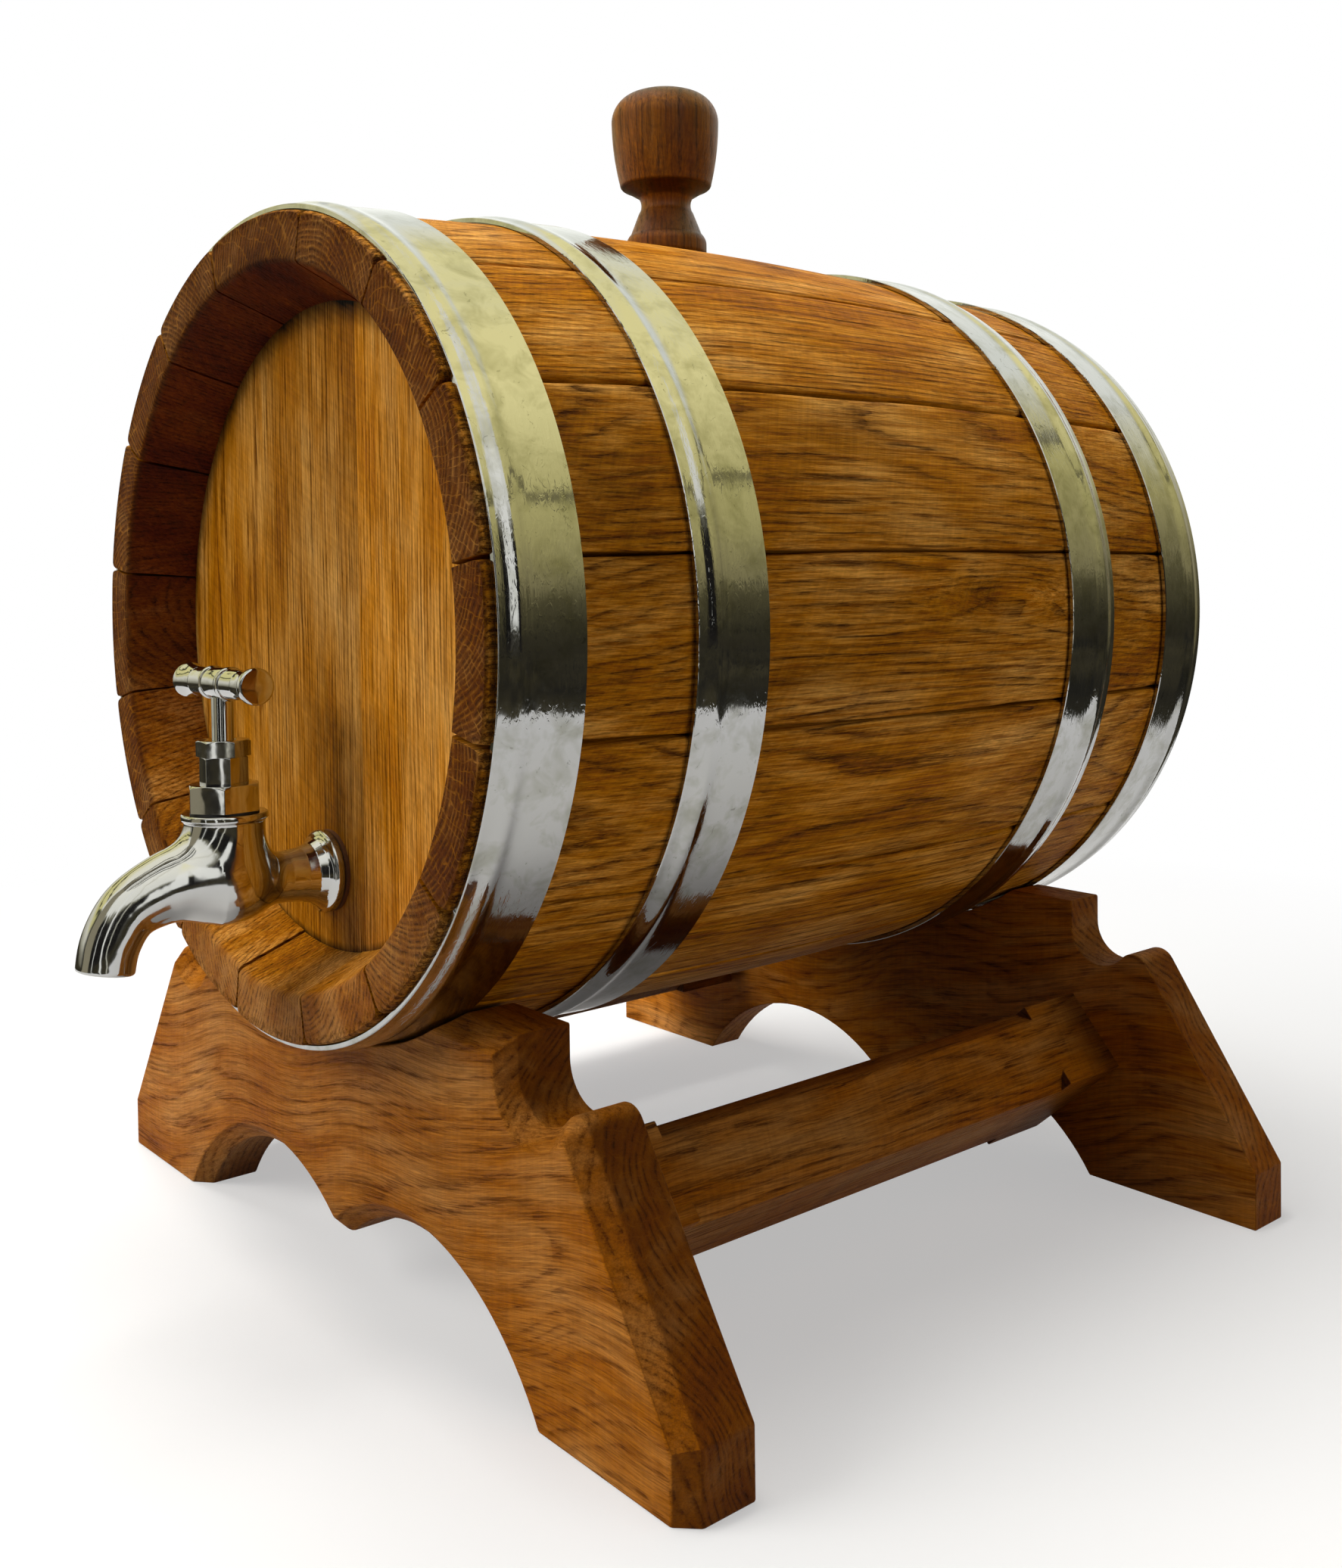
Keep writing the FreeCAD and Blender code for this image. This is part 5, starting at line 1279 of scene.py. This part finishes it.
def tap_field(points):
    """Distance to the casting's skin, mm, from points about the crossing of its two axes."""
    x, y, z = points.T
    upright = np.hypot(x, y)
    level = np.hypot(x, z)
    tail = np.maximum(level - np.interp(y, *np.array(BELL).T), -y)
    tail = melt(carve(tail * 0.9, y - 26.5, CUT), rounded_drum(level, y, *FLANGE), RIM_FILLET)
    metal = melt(rounded_drum(upright, z, *BARREL), tail, TAIL_FILLET)
    mouth = np.array((0.0, -SPOUT[-1][0], SPOUT[-1][1]))
    heading = np.array((0.0, -math.cos(MOUTH_SLOPE), -math.sin(MOUTH_SLOPE)))
    longer = np.concatenate([SPOUT_MIDDLE, mouth + np.outer(np.arange(1, 5), heading)])
    wider = np.concatenate([SPOUT_RADIUS, np.full(4, SPOUT_RADIUS[-1])])
    spout = carve(tube_distance(points, longer, wider), (points - mouth) @ heading, RIM_FILLET)
    metal = carve(melt(metal, spout, SPOUT_FILLET), z - 17.4, CUT)
    metal = melt(metal, rounded_drum(upright, z, *COLLAR), TOP_FILLET)
    deep = len(SPOUT_MIDDLE) // 2
    return carve(metal, -tube_distance(points, longer[deep:], wider[deep:] - SPOUT_WALL), TOP_FILLET)


def make_tap():
    spots, faces, normals = net_on_field(tap_field, TAP_LOW, TAP_HIGH, NET_STEP)
    shank_end = FLANGE_BACK + SHANK_LENGTH
    shank, shank_faces = turned([(FLANGE_BACK - 1.0, 0), (FLANGE_BACK - 1.0, 6.4), (FLANGE_BACK, 6.4),
                                 (shank_end, 5.6), (shank_end, 0)], "y", (0, 0, 0), 48)
    points = (np.concatenate([spots, shank]) + np.array(VALVE)) * MM
    faces += [[len(spots) + i for i in face] for face in shank_faces]
    mesh = new_mesh("tap_casting", points, faces, CHROME)
    mesh.shade_smooth()
    mesh.normals_split_custom_set_from_vertices(
        np.concatenate([normals, np.tile((0.0, 1.0, 0.0), (len(shank), 1))]).tolist())
    piece = stand("tap_casting", mesh)
    settle(piece, "cask", "tap_chrome", "tap_body")
    print("tap casting:", len(mesh.polygons), "faces")


make_tap()

# %% [markdown]
# ## Bonnet and gland nut
# Both are hexagons whose corners were turned off on a lathe, which leaves the curved scallop at the
# top of each flat. The radius of a hexagon at an angle is its flat's distance over a cosine, and the
# lathe's cone sets an upper limit on it, so a smooth minimum of the two is the finished nut.

# %% Hexagons
HEX_BEVEL = math.tan(math.radians(32.0))
CROWN = 0.3  # how much the polishing wheel took off a flat at its edges, mm
SIXTH = math.pi / 3


def hexagon(flats, turn, limit):
    """Radius of a bevelled hexagon at an angle; limit is the lathe's radius at that height."""
    def radius(angles):
        off = (angles - math.radians(turn) - math.pi / 6 + SIXTH / 2) % SIXTH - SIXTH / 2
        flat = flats / 2 / np.cos(off) - CROWN * (off / (SIXTH / 2)) ** 2
        return melt(flat, np.full_like(flat, limit), 0.25)
    return radius


def hexagon_rows(flats, low, high, turn):
    """Rows up the outside of a bevelled hexagon, close together where the cone cuts it."""
    corner = flats / 2 / math.cos(math.pi / 6)
    cone = (corner - flats / 2) * HEX_BEVEL + 0.5
    heights = [low, low + 0.15] + [high - cone + cone * n / 14 for n in range(14)] + [high - 0.04]
    rows = []
    for z in heights:
        limit = flats / 2 + (high - z) / HEX_BEVEL
        ease = 0.15 if z == low else 0.0
        rows.append((z, hexagon(flats, turn, min(limit, corner + 1.0) - ease)))
    return rows + [(high, hexagon(flats, turn, flats / 2 - 0.05))]


# %% Bonnet and gland nut
BONNET_FOOT = VALVE.z + COLLAR_TOP + 0.5
BONNET_TOP = BONNET_FOOT + 6.6
NECK_TOP = BONNET_TOP + 6.8
GLAND_TOP = NECK_TOP + 4.0
VALVE_LINE = Vector((VALVE.x, VALVE.y, 0.0))
STEM_BORE, PACKING_BORE, SCREW_BORE = 2.75, 4.4, 4.05


def chromed(name, rows, axis, centre, body, node, sides=96, ring=False, smooth=32.0):
    make_piece(name, [turned(rows, axis, centre, sides, ring)], CHROME, body, "tap_chrome", [node], smooth)


bonnet_rows = (
    [(BONNET_FOOT - 6.5, SCREW_BORE), (BONNET_FOOT - 6.5, 6.55), (BONNET_FOOT, 6.55)]
    + hexagon_rows(16.6, BONNET_FOOT, BONNET_TOP, 36.4)
    + [(BONNET_TOP, 6.2)]
    + hexagon_rows(11.0, BONNET_TOP, NECK_TOP, 51.4)
    + [(NECK_TOP, PACKING_BORE), (NECK_TOP - 4.0, PACKING_BORE), (NECK_TOP - 4.0, STEM_BORE),
       (BONNET_TOP, STEM_BORE), (BONNET_TOP, SCREW_BORE)]
)
chromed("bonnet_turning", bonnet_rows, "z", VALVE_LINE, "cask", "bonnet", 360, True, 28.0)
gland_rows = (
    [(NECK_TOP - 1.5, STEM_BORE), (NECK_TOP - 1.5, 4.35), (NECK_TOP, 4.35)]
    + hexagon_rows(12.0, NECK_TOP, GLAND_TOP, 0.0)
    + [(GLAND_TOP, 3.1), (GLAND_TOP - 0.3, STEM_BORE)]
)
chromed("gland_turning", gland_rows, "z", VALVE_LINE, "cask", "gland_nut", 360, True, 28.0)

# %% [markdown]
# ## Spindle and cross handle
# The handle is a bar turned with a bead on each side of its hub, and a flared cap closes each end. All
# of it is lathe work, so an outline and its axis are enough; eased corners give each edge the bright
# line that a real one has.

# %% Spindle
HANDLE_Z = VALVE.z + 50.0
SEAT, SLIP, WASHER, PLATE = 3.6, 0.05, 1.8, 1.4
SCREW_Z = VALVE.z + SEAT + SLIP + WASHER + PLATE + SLIP
stem_rows = eased([
    (SCREW_Z + 7.0, 0), (SCREW_Z + 7.0, 1.55), (SCREW_Z, 1.55), (SCREW_Z, 4.0), (SCREW_Z + 9.5, 4.0),
    (SCREW_Z + 9.5, 2.7), (HANDLE_Z - 3.35, 2.7), (HANDLE_Z - 3.35, 2.1), (HANDLE_Z + 2.1, 2.1),
    (HANDLE_Z + 2.1, 0)], 0.12)
chromed("spindle_turning", stem_rows, "z", VALVE_LINE, "spindle", "spindle", 64)

# %% Handle
HANDLE_PLACE = Vector((VALVE.x, VALVE.y, HANDLE_Z))
HANDLE_HALF = 20.0


def handle_outline():
    """Half of the bar from its middle outwards, as (place, radius)."""
    hub = eased([(0.0, 3.95), (3.6, 3.95), (3.6, 3.7), (4.1, 3.7), (4.1, 3.95)], 0.15)
    bead = bowed((4.1, 3.95), (5.7, 3.95), arc_radius(0.8, 0.3), -1, 8)
    neck = eased([(5.7, 3.95), (5.7, 3.7), (12.4, 3.7), (12.4, 2.0), (18.5, 2.0), (18.5, 0)], 0.12)
    return hub + bead + neck


def cap_outline():
    """A flared cap, from the foot of its socket round the outside to the middle of its face."""
    flare = bowed((12.95, 3.7), (18.6, 4.5), 22.0, 1, 12)
    rim = eased([(18.6, 4.5), (19.75, 4.5), (HANDLE_HALF, 4.05), (HANDLE_HALF, 0.0)], 0.3)
    return [(18.55, 0), (18.55, 2.05), (12.45, 2.05), (12.45, 3.62), (12.55, 3.7)] + flare + rim


half_bar = handle_outline()
bar_rows = [(-place, radius) for place, radius in reversed(half_bar[1:])] + half_bar
chromed("handle_bar_turning", bar_rows, "x", HANDLE_PLACE, "spindle", "handle_bar")
for side, way in (("right", 1), ("left", -1)):
    cap_rows = [(way * place, radius) for place, radius in cap_outline()]
    chromed(f"cap_{side}_turning", cap_rows, "x", HANDLE_PLACE, "spindle", f"handle_cap_{side}")
print("handle half length, mm:", HANDLE_HALF)

# %% [markdown]
# ## Cradle
# The boards are sawn oak with chamfered outer edges, oiled more heavily, and their slanting ends show
# rough, dark end grain. Their solids have the whole outline, so a copy is merged, its flat faces are
# joined up again and its edges are eased by a bevel.

# %% Cradle oak
CRADLE_TONES = shades((178, 118, 58), (152, 96, 44), (116, 66, 26), (64, 30, 7), (112, 66, 28),
                      (108, 64, 27))
# The cradle's tone is raised towards its foot and towards the rear board: painted light.
CRADLE_OAK = finish("cradle_oak", plain_oak, CRADLE_TONES, 1.10, 0, (18.0, 300.0, 34.0), 2.2, 40.0,
                    paler=((2, 110.0, 20.0, 0.14), (1, 0.0, 60.0, 0.28)), tilt=math.radians(10.0),
                    sway=22.0, relief=0.13, clouds=0.34, figured=0.85)
STRETCHER_OAK = finish("stretcher_oak", plain_oak, CRADLE_TONES, 0.92, 1, (-30.0, 90.0, 22.0), 2.0, 12.0,
                       sway=7.0, relief=0.12)

# %% Cradle
EDGE_ANGLE = 30.0  # an edge sharper than this is eased, degrees


def eased_copy(node, name, material, width):
    """A merged copy of a solid with its flat faces joined and its edges eased."""
    shape = bmesh.new()
    shape.from_mesh(frame["nodes"][node].data)
    bmesh.ops.remove_doubles(shape, verts=shape.verts, dist=2e-6)
    bmesh.ops.dissolve_limit(shape, angle_limit=math.radians(0.5), verts=shape.verts, edges=shape.edges)
    mesh = bpy.data.meshes.new(name)
    shape.to_mesh(mesh)
    shape.free()
    mesh.materials.append(material)
    piece = stand(name, mesh)
    ease = piece.modifiers.new("eased edges", "BEVEL")
    ease.width = width * MM
    ease.segments = 2
    ease.limit_method = "ANGLE"
    ease.angle_limit = math.radians(EDGE_ANGLE)
    ease.harden_normals = True
    smooth_by_angle(piece, EDGE_ANGLE)
    settle(piece, "cradle", "cradle_oak", node)
    print(name, len(mesh.polygons), "faces before its bevel")


for end in ("front", "rear"):
    eased_copy(f"{end}_cradle_board", f"{end}_board", CRADLE_OAK, 0.7)
for side in ("right", "left"):
    eased_copy(f"{side}_stretcher", f"{side}_rail", STRETCHER_OAK, 0.5)

# %% [markdown]
# ## Small hidden pieces
# Pegs, dowels, washers and the valve's loose plate are seen only when the dispenser is taken apart, so
# their solids stay as they are, with a finish of their own.

# %% Small pieces
DOWEL_TONES = shades((190, 150, 96), (170, 128, 76), (140, 98, 52), (90, 58, 26), (150, 108, 60),
                     (130, 90, 48))
for node, name, axis in (("head_dowels", "dowel_wood", 0), ("stretcher_pegs", "peg_wood", 1)):
    dress(finish(name, plain_oak, DOWEL_TONES, 0.98, axis, (10.0, 0.0, 20.0), 1.6), node)


def plain_matter(tree, shade, metallic, rough_low, rough_high, scale):
    grain = noise(solid_place(tree), 3.0, 0.6, scale=scale)
    tint = blend(ramp(grain, 0.3, 0.7, 0.0, 0.25), shade, (0.02, 0.02, 0.02, 1.0))
    return skin(tint, ramp(grain, 0.3, 0.7, rough_low, rough_high), grain, metallic,
                strength=0.4, depth=0.02 * MM)


dress(finish("seal_rubber", plain_matter, colour(34, 34, 34), 0.0, 0.55, 0.75, 900.0),
      "bonnet_gasket", "gland_packing", "seat_washer")
dress(finish("valve_brass", plain_matter, colour(196, 160, 88), 1.0, 0.18, 0.34, 1200.0),
      "jumper_valve", "jumper_nut")
dress(finish("tail_gasket_fibre", plain_matter, colour(96, 58, 26), 0.0, 0.70, 0.90, 700.0), "tail_gasket")
